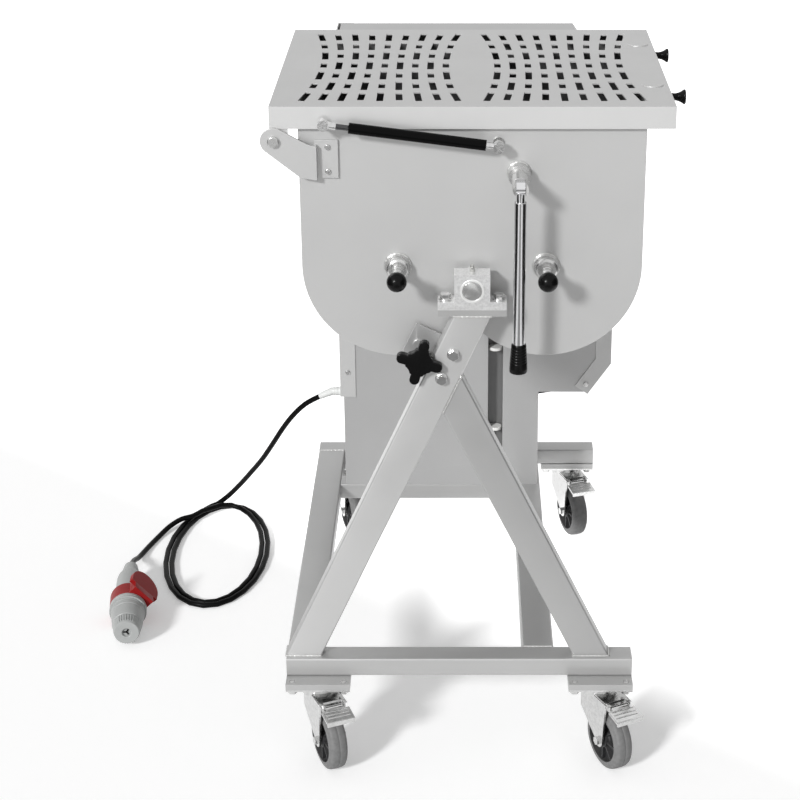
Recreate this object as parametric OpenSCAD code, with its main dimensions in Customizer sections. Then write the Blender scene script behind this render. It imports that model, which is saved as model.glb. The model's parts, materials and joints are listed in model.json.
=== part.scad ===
// Twin-shaft meat mixer with a tilting tank, a perforated lid and a wheeled frame. Millimetres.
// X runs along the front crossbar, Y from the trunnion end to the drive end, and Z is up.
// Every piece is drawn with X = 0 on the tilt axis and Y = 0 on the front crossbar's face,
// and stand() then moves it so that the origin is under the middle of the machine.

/* [Frame] */
// Length of the front and rear crossbars
frame_w = 540; // [500:1:600]
// Depth of each crossbar
bar_d = 40; // [30:1:50]
// Height of the frame tubes
bar_h = 30; // [25:1:40]
// Wall of the frame tubes
tube_t = 2; // [1.5:0.5:4]
// Width of the side rails
rail_w = 50; // [40:1:60]
// Width over both side rails
rail_span = 419; // [380:1:440]
// Offset of the tilt axis from the frame's middle
tank_shift = 19; // [0:1:30]
// Rear crossbar's end short of the front crossbar's, on the right
rear_short = 12; // [0:1:20]

/* [Support legs] */
// Width of the leg tubes
leg_w = 50; // [40:1:60]
// Depth of the leg tubes
leg_t = 30; // [20:1:34]
// Set-back of the legs from the front crossbar's face
leg_back = 10; // [2:1:10]
// Middle of the long leg's foot, in from the frame's left end
long_foot_in = 27; // [26:1:45]
// Middle of the brace leg's foot, in from the frame's right end
brace_foot_in = 64; // [30:1:90]
// Height where the brace leg's middle line meets the long leg's
brace_join_z = 653; // [560:1:700]

/* [Front bearing] */
// Height of the tilt axis
tilt_z = 786; // [760:1:800]
// Width of the welded top plate and of the bearing's flange
plate_w = 100; // [90:1:120]
// Thickness of the top plate
plate_t = 10; // [6:1:14]
// Thickness of the bearing's flange
flange_t = 12; // [8:1:16]
// Tilt axis above the flange's top face
axis_up = 17; // [16:1:24]
// Width of the bearing block
block_w = 52; // [44:1:56]
// Block height above the tilt axis
block_over = 25; // [20:1:32]
// Outer radius of the bearing bush
bush_r = 17; // [16:0.5:17]
// Radius of the front trunnion
trunnion_r = 14; // [10:0.5:15]
// Spacing of the two bearing bolts
bolt_gap = 78; // [76:1:84]

/* [Tank] */
// Front face of the tank behind the front crossbar's face
tank_y = 55; // [53:1:60]
// Length of the tank over its end walls
tank_l = 472; // [400:1:472]
// Spacing of the two mixing shafts
shaft_gap = 216; // [200:1:224]
// Mixing shafts above the tilt axis
shaft_up = 23; // [16:1:30]
// Outer radius of each trough
lobe_r = 140; // [136:1:142]
// Trough sheet thickness
sheet_t = 2; // [1.5:0.5:3]
// End wall thickness
end_t = 3; // [2:0.5:5]

/* [Lid] */
// Width of the lid
lid_w = 575; // [560:1:590]
// Lid overhang beyond each end wall
lid_over = 10; // [9:1:12]
// Height of the lid's top face
lid_top = 1049; // [1044:1:1060]
// Lid sheet thickness
lid_t = 2; // [1:0.5:3]
// Height of the lid's skirt
skirt_h = 32; // [26:1:34]
// Pitch of the slot rows along the lid
row_pitch = 63; // [58:1:64]
// Pitch of the slot columns at the lid's middle
column_pitch = 23.2; // [20:0.1:24]
// Extra column pitch at the ends of the arcs
column_flare = 3.8; // [0:0.1:4]
// Width of a slot
slot_w = 10; // [6:0.5:12]
// Length of a long slot
slot_long = 50; // [44:1:54]
// Length of the slots that end a staggered column
slot_mid = 40; // [30:1:44]
// Length of a short slot
slot_short = 28; // [20:1:30]
// Radius of the two pressed bosses on the lid
boss_r = 16; // [10:1:18]
// Height of the two pressed bosses
boss_h = 1; // [0.5:0.5:2]
// Front pressed boss behind the lid's front edge
front_catch_in = 126; // [90:1:150]
// Rear pressed boss in front of the lid's rear edge
rear_catch_in = 105; // [80:1:150]
// Pressed boss in from the lid's right edge
boss_in = 23; // [20:1:30]

/* [Lid hinge] */
// Hinge pivot beside the tilt axis
pivot_out = 282; // [278:1:284]
// Height of the hinge pivot
pivot_z = 1000; // [996:1:1002]
// Radius of the hinge arm's round end
arm_r = 19; // [16:1:20]
// Thickness of the hinge arm and of the lid's ears
arm_t = 4; // [3:0.5:4]
// Radius of the lid ear's round end
ear_r = 12; // [9:0.5:12]
// Radius of the hinge pin
hinge_pin_r = 5; // [4:0.5:6]
// Height of the hinge arm where it folds back
arm_fold_h = 50; // [40:1:54]
// Height of the hinge arm's screwed flange
arm_flange_h = 56; // [50:1:64]
// Width of the hinge arm's screwed flange
arm_flange_w = 34; // [26:1:40]

/* [Gas strut] */
// Lid stud to the left of the tilt axis
lid_stud_out = 210; // [200:1:220]
// Height of the lid stud
lid_stud_z = 1027; // [1025:1:1032]
// Tank stud to the right of the tilt axis
tank_stud_out = 37; // [30:1:45]
// Height of the tank stud
tank_stud_z = 995; // [988:1:1000]
// Strut axis in front of the tank wall
strut_out = 25; // [24:1:28]
// Radius of the strut's cylinder
strut_r = 7.8; // [7:0.1:8]
// Radius of the strut's rod
rod_r = 4; // [3:0.5:5]
// Radius of the ball studs
ball_r = 5; // [4:0.5:5]

/* [Tilt handle] */
// Handle beside the tilt axis
handle_out = 67; // [62:1:75]
// Handle's pivot below the lid's top
handle_drop = 99; // [90:1:120]
// Handle axis in front of the tank wall
handle_off = 74; // [74:1:80]
// Length from pivot to grip end
handle_l = 278; // [240:1:320]
// Length of the thin upper rod
handle_neck_l = 21; // [20:1:40]
// Radius of the thin upper rod
handle_neck_r = 6; // [4:0.5:7]
// Radius of the handle tube
handle_tube_r = 8.7; // [8:0.1:10]
// Length of the grip
grip_l = 44; // [40:1:80]
// Radius of the grip's top
grip_top_r = 10.7; // [10.5:0.1:11.5]
// Radius of the grip's bottom
grip_end_r = 13.5; // [12:0.1:15]
// Radius of the handle's boss
handle_boss_r = 11.5; // [11:0.5:13]
// Radius of the boss's collar at the wall
handle_collar_r = 16; // [14:0.5:18]
// Length of the boss's collar
handle_collar_l = 20; // [10:1:30]

/* [Mixing shafts] */
// Radius of the mixing shafts
shaft_r = 15; // [13:0.5:18]
// Radius that the blades reach
blade_reach = 131; // [110:1:133]
// Width of a blade along the shaft
blade_w = 44; // [30:1:46]
// Height of a blade
blade_h = 34; // [24:1:44]
// Thickness of a blade
blade_t = 5; // [3:0.5:8]
// Radius of the blade arms
blade_arm_r = 7; // [5:0.5:9]
// Distance between neighbouring blades of both shafts
blade_step = 59; // [56:1:60]
// Radius of the shaft pins
shaft_pin_r = 8; // [6:0.5:10]
// Depth of a shaft pin in its mixing shaft
pin_depth = 30; // [20:1:40]
// Radius of the pins' collars
collar_r = 19; // [17:0.5:20]
// Thickness of the pins' collars
collar_t = 6; // [4:0.5:8]
// Radius of the pins' sleeves
sleeve_r = 16.5; // [12:0.5:17]
// Length of the pins' sleeves
sleeve_l = 14; // [10:1:30]
// Radius of the pins' black ball knobs
pin_knob_r = 14.5; // [13:0.5:16]
// Ball knob's middle in front of the pin's collar
pin_knob_out = 64; // [50:1:70]

/* [Drive] */
// Depth of the gear case
case_l = 73; // [70:1:76]
// Wall of the gear case
case_t = 4; // [3:0.5:5]
// Teeth of each mixing shaft gear
gear_teeth = 36; // [36:12:48]
// Face width of the mixing shaft gears
gear_face = 20; // [16:1:22]
// Teeth of the drive pinion
pinion_teeth = 19; // [17:1:21]
// Face width of the drive pinion
pinion_face = 22; // [16:1:22]
// Radius of the drive shaft
drive_r = 12; // [9:0.5:14]
// Outer radius of the hollow rear trunnion
neck_r = 30; // [26:0.5:34]
// Size of the square rear bearing
rear_bearing_w = 120; // [110:1:140]
// Width of the gear reducer
reducer_w = 130; // [110:1:150]
// Depth of the gear reducer
reducer_l = 96; // [80:1:110]
// Height of the gear reducer
reducer_h = 150; // [130:1:170]
// Radius of the motor
motor_r = 70; // [60:1:76]
// Length of the motor
motor_l = 200; // [160:1:204]

/* [Cabinet] */
// Depth of the drive cabinet
cab_d = 191; // [185:1:195]
// Gap between the gear case and the cabinet
cab_gap = 29; // [28:1:40]
// Cabinet's left side in from the frame's left end
cab_in = 60; // [54:1:66]
// Width of the cabinet's foot
foot_w = 354; // [330:1:360]
// Width of the cabinet's upper part
cab_w = 478; // [460:1:490]
// Width of the cabinet's top
cab_top_w = 412; // [380:1:430]
// Height of the cabinet's top
cab_top = 998; // [980:1:1010]
// Height of the overhang's underside
over_z = 366; // [350:1:400]
// Width of the lower right chamfer
chamfer_w = 40; // [30:1:50]
// Height of the lower right chamfer
chamfer_h = 58; // [40:1:70]
// Height where the right side starts to slope in
shoulder_z = 900; // [850:1:940]
// Cabinet sheet thickness
cab_t = 2; // [1.5:0.5:3]
// Side cover's distance outside the cabinet
cover_out = 6; // [5:0.5:8]
// Width of the side covers' flanges
cover_flange = 28; // [24:1:32]
// Height of the left cover's lower end
cover_z = 357; // [353:1:380]
// Left edge of the front channel beside the tilt axis
channel_x = 33; // [24:1:40]
// Width of the front channel
channel_w = 27; // [26:0.5:30]
// Height of the channel's lower end
channel_z = 230; // [200:1:270]
// Length of the channel
channel_l = 270; // [250:1:300]
// Radius of the white buffers in the channel
buffer_r = 12.5; // [10:0.5:13]
// Height of a buffer
buffer_h = 6; // [4:1:20]
// Top of the upper buffer
upper_buffer_z = 450; // [430:1:480]
// Top of the lower buffer
lower_buffer_z = 293; // [270:1:320]
// Height of the two push buttons
button_z = 850; // [820:1:880]
// Radius of the push buttons
button_r = 11; // [9:0.5:13]

/* [Lock] */
// Star knob beside the tilt axis, to the left
lock_out = 77; // [76:1:78]
// Height of the star knob
lock_z = 679; // [679:1:682]
// Radius that the star knob's arms reach
star_r = 34.5; // [32:0.5:35]
// Radius of the star knob's arm ends
star_tip_r = 7.5; // [6:0.5:8]
// Thickness of the star knob
star_t = 12; // [8:1:12]
// Radius of the lock screw
lock_screw_r = 5; // [4:0.5:6]
// Length of the lock bracket across the leg
bracket_l = 90.5; // [88:0.5:96]
// Lock bracket's reach along the leg above the bolts' middle
bracket_up = 31.5; // [30:0.5:48]
// Lock bracket's reach along the leg below the bolts' middle
bracket_down = 34; // [30:1:48]
// Thickness of the lock bracket
bracket_t = 5; // [3:0.5:6]

/* [Casters] */
// Height of a caster over its plate
caster_h = 140; // [136:1:144]
// Thickness of the frame's pads
pad_t = 10; // [6:1:12]
// Width of the pads and caster plates
pad_w = 100; // [96:1:110]
// Depth of the pads and caster plates
pad_d = 85; // [84:1:90]
// Caster bolt spacing across the machine
bolt_x = 80; // [70:1:84]
// Caster bolt spacing along the machine
bolt_y = 65; // [64:1:68]
// Front casters' swivel axis in from the end of the frame
swivel_in = 15; // [15:1:20]
// Rear casters' swivel axis behind the frame's end
rear_swivel_out = 2.5; // [0:0.5:4]
// Radius of the wheels
wheel_r = 50; // [45:1:52]
// Width of the wheels
wheel_w = 30; // [24:1:32]
// Trail of the wheels behind the swivel axis
trail = 38; // [32:1:40]
// Direction in which the front left caster trails, from the front towards the right
front_left_turn = 24; // [0:1:40]
// Direction in which the front right caster trails
front_right_turn = 27; // [0:1:40]
// Direction in which the rear left caster trails
rear_left_turn = 20; // [0:1:40]
// Direction in which the rear right caster trails
rear_right_turn = 19; // [0:1:40]
// Width of the brake pedals
pedal_w = 46; // [40:1:56]
// Length of a brake pedal's wide end
pedal_l = 28; // [20:1:30]

/* [Cord] */
// Diameter of the cord
cord_d = 10; // [8:0.5:10]
// Length of the mated plug and connector
plug_l = 244; // [230:1:260]
// Radius of the plug's and connector's collars
plug_r = 33; // [31:1:34]

/* [Hidden] */
$fn = 48;

// Clearances: seats that touch without being joined, running fits, holes and open pivots
seat_gap = 0.3;
run_gap = 0.04;
hole_gap = 0.5;
guard_gap = 1;
over = 1;

// Frame
frame_left = -tank_shift - frame_w / 2;
frame_right = frame_left + frame_w;
frame_l = tank_y + tank_l + case_l + cab_gap + cab_d;
pad_top = caster_h + pad_t;
frame_top = pad_top + bar_h;
right_rail_x = frame_left + rail_span - rail_w;
cab_y = frame_l - cab_d;

// Casters: places of the four swivel axes, left then right and front then rear
caster_places = [
    [frame_left + pad_w / 2, swivel_in],
    [frame_right - pad_w / 2, swivel_in],
    [frame_left + pad_w / 2, frame_l + rear_swivel_out],
    [frame_right - pad_w / 2 - rear_short, frame_l + rear_swivel_out]];
caster_turns = [front_left_turn, front_right_turn, rear_left_turn, rear_right_turn];
caster_plate_t = 3;
race_r = 24;
race_t = 5;
kingpin_r = 6;
crown_r = 30;
crown_t = 12;
crown_top = caster_h - caster_plate_t - race_t - seat_gap;
cheek_t = 3;
cheek_gap = 3;
cheek_in = wheel_w / 2 + cheek_gap;
cheek_out = cheek_in + cheek_t;
axle_r = 4;
axle_boss_r = 11;
axle_head_r = 7;
axle_head_t = 5;
hub_r = 13;
rim_t = 13;
rim_in_r = wheel_r - rim_t;
web_t = 16;
tread_round = 4;
neck_t = 12;
neck_reach = 17;
neck_end = trail + neck_reach;
cheek_back = 18;
cheek_knee_z = 85;
pedal_pin_r = 2.5;
pedal_barrel_r = 5;
pedal_barrel_w = 30;
pedal_ear_t = 3;
pedal_axis_y = neck_end + pedal_barrel_r + guard_gap;
pedal_axis_z = crown_top - crown_t - pedal_barrel_r + 2 * guard_gap;
pedal_t = 4;
pedal_neck_l = 8;
pedal_slope = 0.2;
pedal_tip = pedal_axis_y + pedal_neck_l + pedal_l;

// Where the machine's middle lies in the drawing frame
front_most = swivel_in - max([for (t = [front_left_turn, front_right_turn])
    pedal_tip * cos(t) + pedal_w / 2 * sin(t)]);
rear_most = frame_l + rear_swivel_out + pad_d / 2;
left_most = -pivot_out - arm_r;
catch_neck_r = 5.5;
catch_head_r = 11;
catch_l = 22;
catch_nut_t = 4;
right_most = lid_w / 2 + catch_nut_t + catch_l;
mid_x = (left_most + right_most) / 2;
mid_y = (front_most + rear_most) / 2;

// Legs
leg_y = leg_back;
leg_top = tilt_z - axis_up - flange_t - plate_t;
long_foot_x = frame_left + long_foot_in;
long_slope = -long_foot_x / (leg_top - frame_top);
long_ang = atan(long_slope);
long_half = leg_w / 2 / cos(long_ang);
brace_foot_x = frame_right - brace_foot_in;
brace_top_x = long_foot_x + (brace_join_z - frame_top) * long_slope;
brace_slope = (brace_foot_x - brace_top_x) / (brace_join_z - frame_top);
brace_half = leg_w / 2 / cos(atan(brace_slope));
hex_r = 8.2;
hex_h = 6.4;
washer_r = 9.6;
washer_t = 2;
bolt_r = 5;

// Tank
shaft_x = shaft_gap / 2;
shaft_z = tilt_z + shaft_up;
tank_back = tank_y + tank_l;
tank_half = shaft_x + lobe_r;
tank_top = lid_top - lid_t - seat_gap;
wall_in = tank_y + end_t;
wall_back_in = tank_back - end_t;

// Lid
lid_y = tank_y - lid_over;
lid_l = tank_l + 2 * lid_over;
lid_back = lid_y + lid_l;
slot_rows = 7;
slot_columns = 9;
odd_pattern = [2, 0, 2, 0, 2, 0, 2];
even_pattern = [1, 2, 0, 2, 0, 2, 1];
slot_lengths = [slot_short, slot_mid, slot_long];
group_x = 132;
catch_z = lid_top - skirt_h / 2 - lid_t;
catch_pin_r = 4;
catch_clear = 3;
catch_tip_x = tank_half + catch_clear;
front_catch_y = lid_y + front_catch_in;
rear_catch_y = lid_back - rear_catch_in;

// Lid hinge
pivot_x = -pivot_out;
arm_y = lid_y - guard_gap - arm_t;
fold_in = 23;
fold_x = -tank_half + fold_in;
arm_knee_in = 10;
hinge_head_r = 8;
hinge_head_t = 6;
arm_screw_r = 4;
arm_screw_t = 3;
ear_w = 24;

// Gas strut
strut_y = tank_y - strut_out;
strut_dx = tank_stud_out + lid_stud_out;
strut_dz = lid_stud_z - tank_stud_z;
strut_ang = atan(strut_dz / strut_dx);
strut_closed = norm([strut_dx, strut_dz]);
socket_r = 8;
socket_h = 14;
stud_neck_r = 3;
stud_foot_r = 8;
stud_foot_t = 3;
strut_fit_l = 18;
strut_show = 36;
strut_mouth = strut_closed - strut_show;
rod_fit_l = 18;
strut_blind = 30;

// Handle
handle_z = lid_top - handle_drop;
handle_y = tank_y - handle_off;
handle_slot_w = 14;
handle_eye_r = 9;
handle_pin_r = 4;
boss_nose = 10;
boss_front = handle_y - boss_nose;

// Shaft pins
pin_face = tank_y - collar_t - seat_gap;

// Gears: the two mixing shaft gears mesh with each other, and a pinion drives the left one
gear_module = shaft_gap / gear_teeth;
pinion_ratio = pinion_teeth / gear_teeth;
pinion_dist = norm([shaft_x, shaft_up]);
pinion_module = 2 * pinion_dist / (gear_teeth + pinion_teeth);
pinion_dir = atan2(-shaft_up, shaft_x);
root_share = 0.27;
tip_share = 0.13;
addendum_share = 0.85;
dedendum_share = 1.15;
gear_y = tank_back + case_t + guard_gap;
step_y = gear_y + gear_face;
case_back = tank_back + case_l;
case_r = shaft_gap / 2 + gear_module + 2 * guard_gap + case_t;
pinion_y = step_y + 2 * guard_gap;
case_low_r = pinion_module * (pinion_teeth / 2 + addendum_share) + 3 * guard_gap + case_t;
skin_in = cab_y + cab_t;
rear_bearing_t = 24;
rear_bearing_y = cab_y - rear_bearing_t;
drive_l = reducer_l / 2;

// Cabinet
cab_left = frame_left + cab_in;
cab_right = cab_left + cab_w;
foot_right = cab_left + foot_w;
back_t = cab_t;
cab_outline = [
    [cab_left, frame_top],
    [foot_right, frame_top],
    [foot_right, over_z],
    [cab_right - chamfer_w, over_z],
    [cab_right, over_z + chamfer_h],
    [cab_right, shoulder_z],
    [cab_left + cab_top_w, cab_top],
    [cab_left, cab_top]];
cover_t = 2;
cover_top = 880;
left_cover_top = cab_top;
screw_head_r = 4.5;
screw_head_t = 3;
screw_r = 2;
screw_l = 8;
screw_in = 14;
upper_screw_z = 700;
lower_screw_up = 48;
wedge_h = 13;
wedge_t = 20;
channel_d = channel_w;
button_gap = 60;
button_x = -60;
button_l = 22;
button_out = 8;
bezel_r = 15;
bezel_t = 3;
gland_in = 93;
gland_y = cab_y + gland_in;
gland_z = 328;
gland_hex_r = 9.5;
gland_hex_t = 6;
gland_dome_r = 8;
gland_l = 17;
gland_end = cab_left - gland_l;

// Lock
lock_y = leg_y + leg_t + bracket_t;
star_back = leg_y - washer_t - seat_gap;
star_hub_r = 10;
star_arms = 4;
star_turn = 74;
star_waist_r = 21;
star_notch_share = 1.8;
star_notch_r = 15.5;
lock_pad_r = 7;
lock_pad_t = 3;
index_boss_r = 7;
index_boss_t = 4;
star_hub_l = leg_y + leg_t - index_boss_t - guard_gap - star_back;
index_across = 50;
index_up = 3.3;
lock_bolt_gap = 42;
lock_bolt_z = 669;

// Cord: the free stretches follow points chosen by hand, and the two loops a flat spiral
cord_r = cord_d / 2;
cord_sides = 8;
loop_sides = 6;
loop_rings = 24;
loop_count = 2;
loop_x = -480.5;
loop_y = 690;
loop_rx = 100.5;
loop_ry = 212;
loop_start = 117;
loop_pitch = cord_d + 1.5;
loop_climb = 80;
loop_lift = cord_d + 1;
gland_face = [gland_end, gland_y, gland_z];
lead_points = [
    [-280, 726, 316],
    [-309, 735, 296],
    [-335, 748, 266],
    [-357, 765, 231],
    [-379, 786, 190],
    [-403, 812, 146],
    [-430, 842, 103],
    [-456, 868, 64],
    [-482, 886, 31],
    [-505, 890, 11]];
tail_points = [
    [-547, 824, 16],
    [-568, 812, 15],
    [-588, 791, 10],
    [-604, 760, 5],
    [-619, 712, 5],
    [-629, 664, 9],
    [-632, 626, 22]];
plug_x = -630;
plug_y = 578;
plug_turn = 7;
plug_axis_z = plug_r;
tail_rings = 4;
ring_step = 5;

// Moves a piece from the drawing frame to the frame with its origin under the middle
module stand() {
    translate([-mid_x, -mid_y, 0]) children();
}

// Extrudes an outline of [x, z] points from depth y, t deep
module upright(y, t) {
    translate([0, y + t, 0]) rotate([90, 0, 0]) linear_extrude(t) children();
}

// A cylinder along Y from depth y, l deep
module rod_y(x, z, y, l, r) {
    translate([x, y + l, z]) rotate([90, 0, 0]) cylinder(h = l, r = r);
}

// A cylinder along X from x, l long
module rod_x(x, y, z, l, r) {
    translate([x, y, z]) rotate([0, 90, 0]) cylinder(h = l, r = r);
}

module box(x0, x1, y0, y1, z0, z1) {
    translate([x0, y0, z0]) cube([x1 - x0, y1 - y0, z1 - z0]);
}

// Hexagon head along Y, its back on depth y and its front t nearer
module hex_y(x, z, y, t, r) {
    translate([x, y, z]) rotate([90, 30, 0]) cylinder(h = t, r = r, $fn = 6);
}

module steel() {
    color("silver") children();
}

// Frame tubes

// A rectangular tube along X, closed at both ends by inset caps
module tube_x(x0, x1, y, d) {
    difference() {
        box(x0, x1, y, y + d, pad_top, frame_top);
        box(x0 - over, x1 + over, y + tube_t, y + d - tube_t, pad_top + tube_t, frame_top - tube_t);
    }
    for (x = [x0, x1 - tube_t])
        box(x, x + tube_t, y + tube_t + seat_gap, y + d - tube_t - seat_gap,
            pad_top + tube_t + seat_gap, frame_top - tube_t - seat_gap);
}

module tube_y(x, w, y0, y1) {
    difference() {
        box(x, x + w, y0, y1, pad_top, frame_top);
        box(x + tube_t, x + w - tube_t, y0 - over, y1 + over, pad_top + tube_t, frame_top - tube_t);
    }
}

module crossbars() {
    steel() stand() {
        tube_x(frame_left, frame_right, 0, bar_d);
        tube_x(frame_left, frame_right - rear_short, frame_l - bar_d, bar_d);
        tube_x(frame_left + rail_w, right_rail_x, cab_y, bar_d);
    }
}

module side_rails() {
    steel() stand() {
        tube_y(frame_left, rail_w, bar_d, frame_l - bar_d);
        tube_y(right_rail_x, rail_w, bar_d, frame_l - bar_d);
    }
}

// Four holes of the caster bolts round a swivel axis
module at_bolts() {
    for (x = [-bolt_x / 2, bolt_x / 2])
        for (y = [-bolt_y / 2, bolt_y / 2])
            translate([x, y, 0]) children();
}

module at_pads() {
    for (p = caster_places) translate([p[0], p[1], 0]) children();
}

caster_bolt_r = 4;
caster_hole_r = caster_bolt_r + hole_gap;

module pad(z, t) {
    difference() {
        translate([-pad_w / 2, -pad_d / 2, z]) cube([pad_w, pad_d, t]);
        at_bolts() translate([0, 0, z - over]) cylinder(h = t + 2 * over, r = caster_hole_r);
    }
}

module frame_plates() {
    steel() stand() {
        at_pads() pad(caster_h, pad_t);
        difference() {
            box(-plate_w / 2, plate_w / 2, leg_y, leg_y + leg_t, leg_top, leg_top + plate_t);
            for (x = [-bolt_gap / 2, bolt_gap / 2])
                translate([x, leg_y + leg_t / 2, leg_top - over])
                    cylinder(h = plate_t + 2 * over, r = bolt_r + hole_gap);
        }
    }
}

// Support legs

function long_x(z) = long_foot_x + (z - frame_top) * long_slope;

function brace_x(z) = brace_foot_x - (z - frame_top) * brace_slope;

// Height where a line at brace_x + h crosses the long leg's right side
function meet_z(h) =
    frame_top + (brace_foot_x + h - long_foot_x - long_half) / (long_slope + brace_slope);

module long_profile(h, extra) {
    low = frame_top - extra;
    high = leg_top + extra;
    polygon([[long_x(low) - h, low], [long_x(low) + h, low],
        [long_x(high) + h, high], [long_x(high) - h, high]]);
}

module brace_profile(h, extra, grow) {
    low = frame_top - extra;
    zl = meet_z(-h) + grow;
    zr = meet_z(h) + grow;
    polygon([[brace_x(low) - h, low], [brace_x(low) + h, low],
        [brace_x(zr) + h, zr], [brace_x(zl) - h, zl]]);
}

module long_leg() {
    inner = long_half - tube_t / cos(long_ang);
    steel() stand() difference() {
        upright(leg_y, leg_t) long_profile(long_half, 0);
        upright(leg_y + tube_t, leg_t - 2 * tube_t) long_profile(inner, over);
        for (s = [-1, 1]) lock_bolt_place(s)
            rod_y(0, 0, leg_y - over, leg_t + 2 * over, bolt_r + hole_gap);
    }
}

module brace_leg() {
    inner = brace_half - tube_t / cos(atan(brace_slope));
    steel() stand() difference() {
        upright(leg_y, leg_t) brace_profile(brace_half, 0, 0);
        upright(leg_y + tube_t, leg_t - 2 * tube_t) brace_profile(inner, over, over);
    }
}

// Front bearing

module bearing_block() {
    flange_z = leg_top + plate_t;
    color("lightgray") stand() difference() {
        union() {
            box(-plate_w / 2, plate_w / 2, leg_y, leg_y + leg_t, flange_z, flange_z + flange_t);
            box(-block_w / 2, block_w / 2, leg_y, leg_y + leg_t, flange_z, tilt_z + block_over);
        }
        rod_y(0, tilt_z, leg_y - over, leg_t + 2 * over, bush_r);
        for (x = [-bolt_gap / 2, bolt_gap / 2])
            translate([x, leg_y + leg_t / 2, flange_z - over])
                cylinder(h = flange_t + 2 * over, r = bolt_r + hole_gap);
    }
}

module bearing_bush() {
    color("gray") stand() difference() {
        rod_y(0, tilt_z, leg_y, leg_t, bush_r);
        rod_y(0, tilt_z, leg_y - over, leg_t + 2 * over, trunnion_r + run_gap);
    }
}

// Places a lock bolt on the long leg's middle line, s = -1 below and s = 1 above
module lock_bolt_place(s) {
    z = lock_bolt_z + s * lock_bolt_gap / 2 * cos(long_ang);
    translate([long_x(z), 0, z]) children();
}

// Hexagon bolts with washers: two hold the bearing, two hold the lock bracket
module upper_bolts() {
    flange_top = leg_top + plate_t + flange_t;
    color("lightgray") stand() {
        for (x = [-bolt_gap / 2, bolt_gap / 2])
            translate([x, leg_y + leg_t / 2, 0]) {
                translate([0, 0, flange_top]) cylinder(h = washer_t, r = washer_r);
                translate([0, 0, flange_top + washer_t]) cylinder(h = hex_h, r = hex_r, $fn = 6);
                translate([0, 0, leg_top]) cylinder(h = plate_t + flange_t + washer_t, r = bolt_r);
            }
        for (s = [-1, 1]) lock_bolt_place(s) {
            rod_y(0, 0, leg_y - washer_t, washer_t, washer_r);
            hex_y(0, 0, leg_y - washer_t, hex_h, hex_r);
            rod_y(0, 0, leg_y - washer_t, leg_t + bracket_t + washer_t, bolt_r);
        }
    }
}

nipple_r = 4;
nipple_h = 7;
nipple_head_r = 3;
nipple_head_h = 4;

module grease_nipple() {
    top = tilt_z + block_over;
    color("goldenrod") stand() translate([0, leg_y + leg_t / 2, top]) {
        cylinder(h = nipple_h, r = nipple_r, $fn = 6);
        translate([0, 0, nipple_h]) cylinder(h = nipple_head_h, r = nipple_head_r);
    }
}

// Lock

// Turns its children with the long leg and puts them on its middle line at the lock's height
module along_leg() {
    translate([long_x(lock_bolt_z), 0, lock_bolt_z]) rotate([0, long_ang, 0]) children();
}

// The bracket reaches from the long leg's middle line out to the left, past the lock screw
module lock_bracket() {
    steel() stand() difference() {
        union() {
            along_leg() box(leg_w / 2 - bracket_l, leg_w / 2, leg_y + leg_t, lock_y,
                -bracket_down, bracket_up);
            along_leg() rod_y(-index_across, index_up, leg_y + leg_t - index_boss_t,
                index_boss_t, index_boss_r);
        }
        for (s = [-1, 1]) lock_bolt_place(s)
            rod_y(0, 0, leg_y + leg_t - over, bracket_t + 2 * over, bolt_r + hole_gap);
        rod_y(-lock_out, lock_z, leg_y, leg_t + bracket_t + over, lock_screw_r + run_gap);
    }
}

module star_outline() {
    difference() {
        union() {
            circle(star_waist_r);
            for (a = [0 : star_arms - 1]) rotate(star_turn + a * 360 / star_arms) {
                translate([0, -star_tip_r]) square([star_r - star_tip_r, 2 * star_tip_r]);
                translate([star_r - star_tip_r, 0]) circle(star_tip_r);
            }
        }
        for (a = [0 : star_arms - 1]) rotate(star_turn + (a + 1 / 2) * 360 / star_arms)
            translate([star_waist_r + star_tip_r * star_notch_share, 0]) circle(star_notch_r);
    }
}

module lock_knob() {
    color("dimgray") stand() translate([-lock_out, 0, lock_z]) {
        upright(star_back - star_t, star_t) star_outline();
        rod_y(0, 0, star_back, star_hub_l, star_hub_r);
        rod_y(0, 0, star_back, tank_y - seat_gap - lock_pad_t - star_back, lock_screw_r);
        rod_y(0, 0, tank_y - seat_gap - lock_pad_t, lock_pad_t, lock_pad_r);
    }
}

// Casters

caster_head_t = 6.5;
caster_head_r = 7.5;

// Hexagon bolts from below, threaded into the pads and flush with their tops
module caster_bolts() {
    low = caster_h - caster_plate_t;
    color("lightgray") stand()
        for (p = caster_places, x = [-bolt_x / 2, bolt_x / 2], y = [-bolt_y / 2, bolt_y / 2])
            translate([p[0] + x, p[1] + y, 0]) {
                translate([0, 0, low]) cylinder(h = pad_t + caster_plate_t, r = caster_bolt_r);
                translate([0, 0, low - caster_head_t])
                    cylinder(h = caster_head_t, r = caster_head_r, $fn = 6);
            }
}

// All hexagon bolts of the frame
module frame_bolts() {
    upper_bolts();
    caster_bolts();
}

module caster_plates() {
    plate_z = caster_h - caster_plate_t;
    color("lightgray") stand() at_pads() {
        pad(plate_z, caster_plate_t);
        translate([0, 0, plate_z - race_t]) cylinder(h = race_t, r = race_r);
        translate([0, 0, crown_top - crown_t]) cylinder(h = plate_z - crown_top + crown_t, r = kingpin_r);
    }
}

// Places a caster's turning pieces, which trail along -Y before the turn
module at_caster(i) {
    stand() translate([caster_places[i][0], caster_places[i][1], 0]) 
        rotate([0, 0, caster_turns[i]]) children();
}

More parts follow.
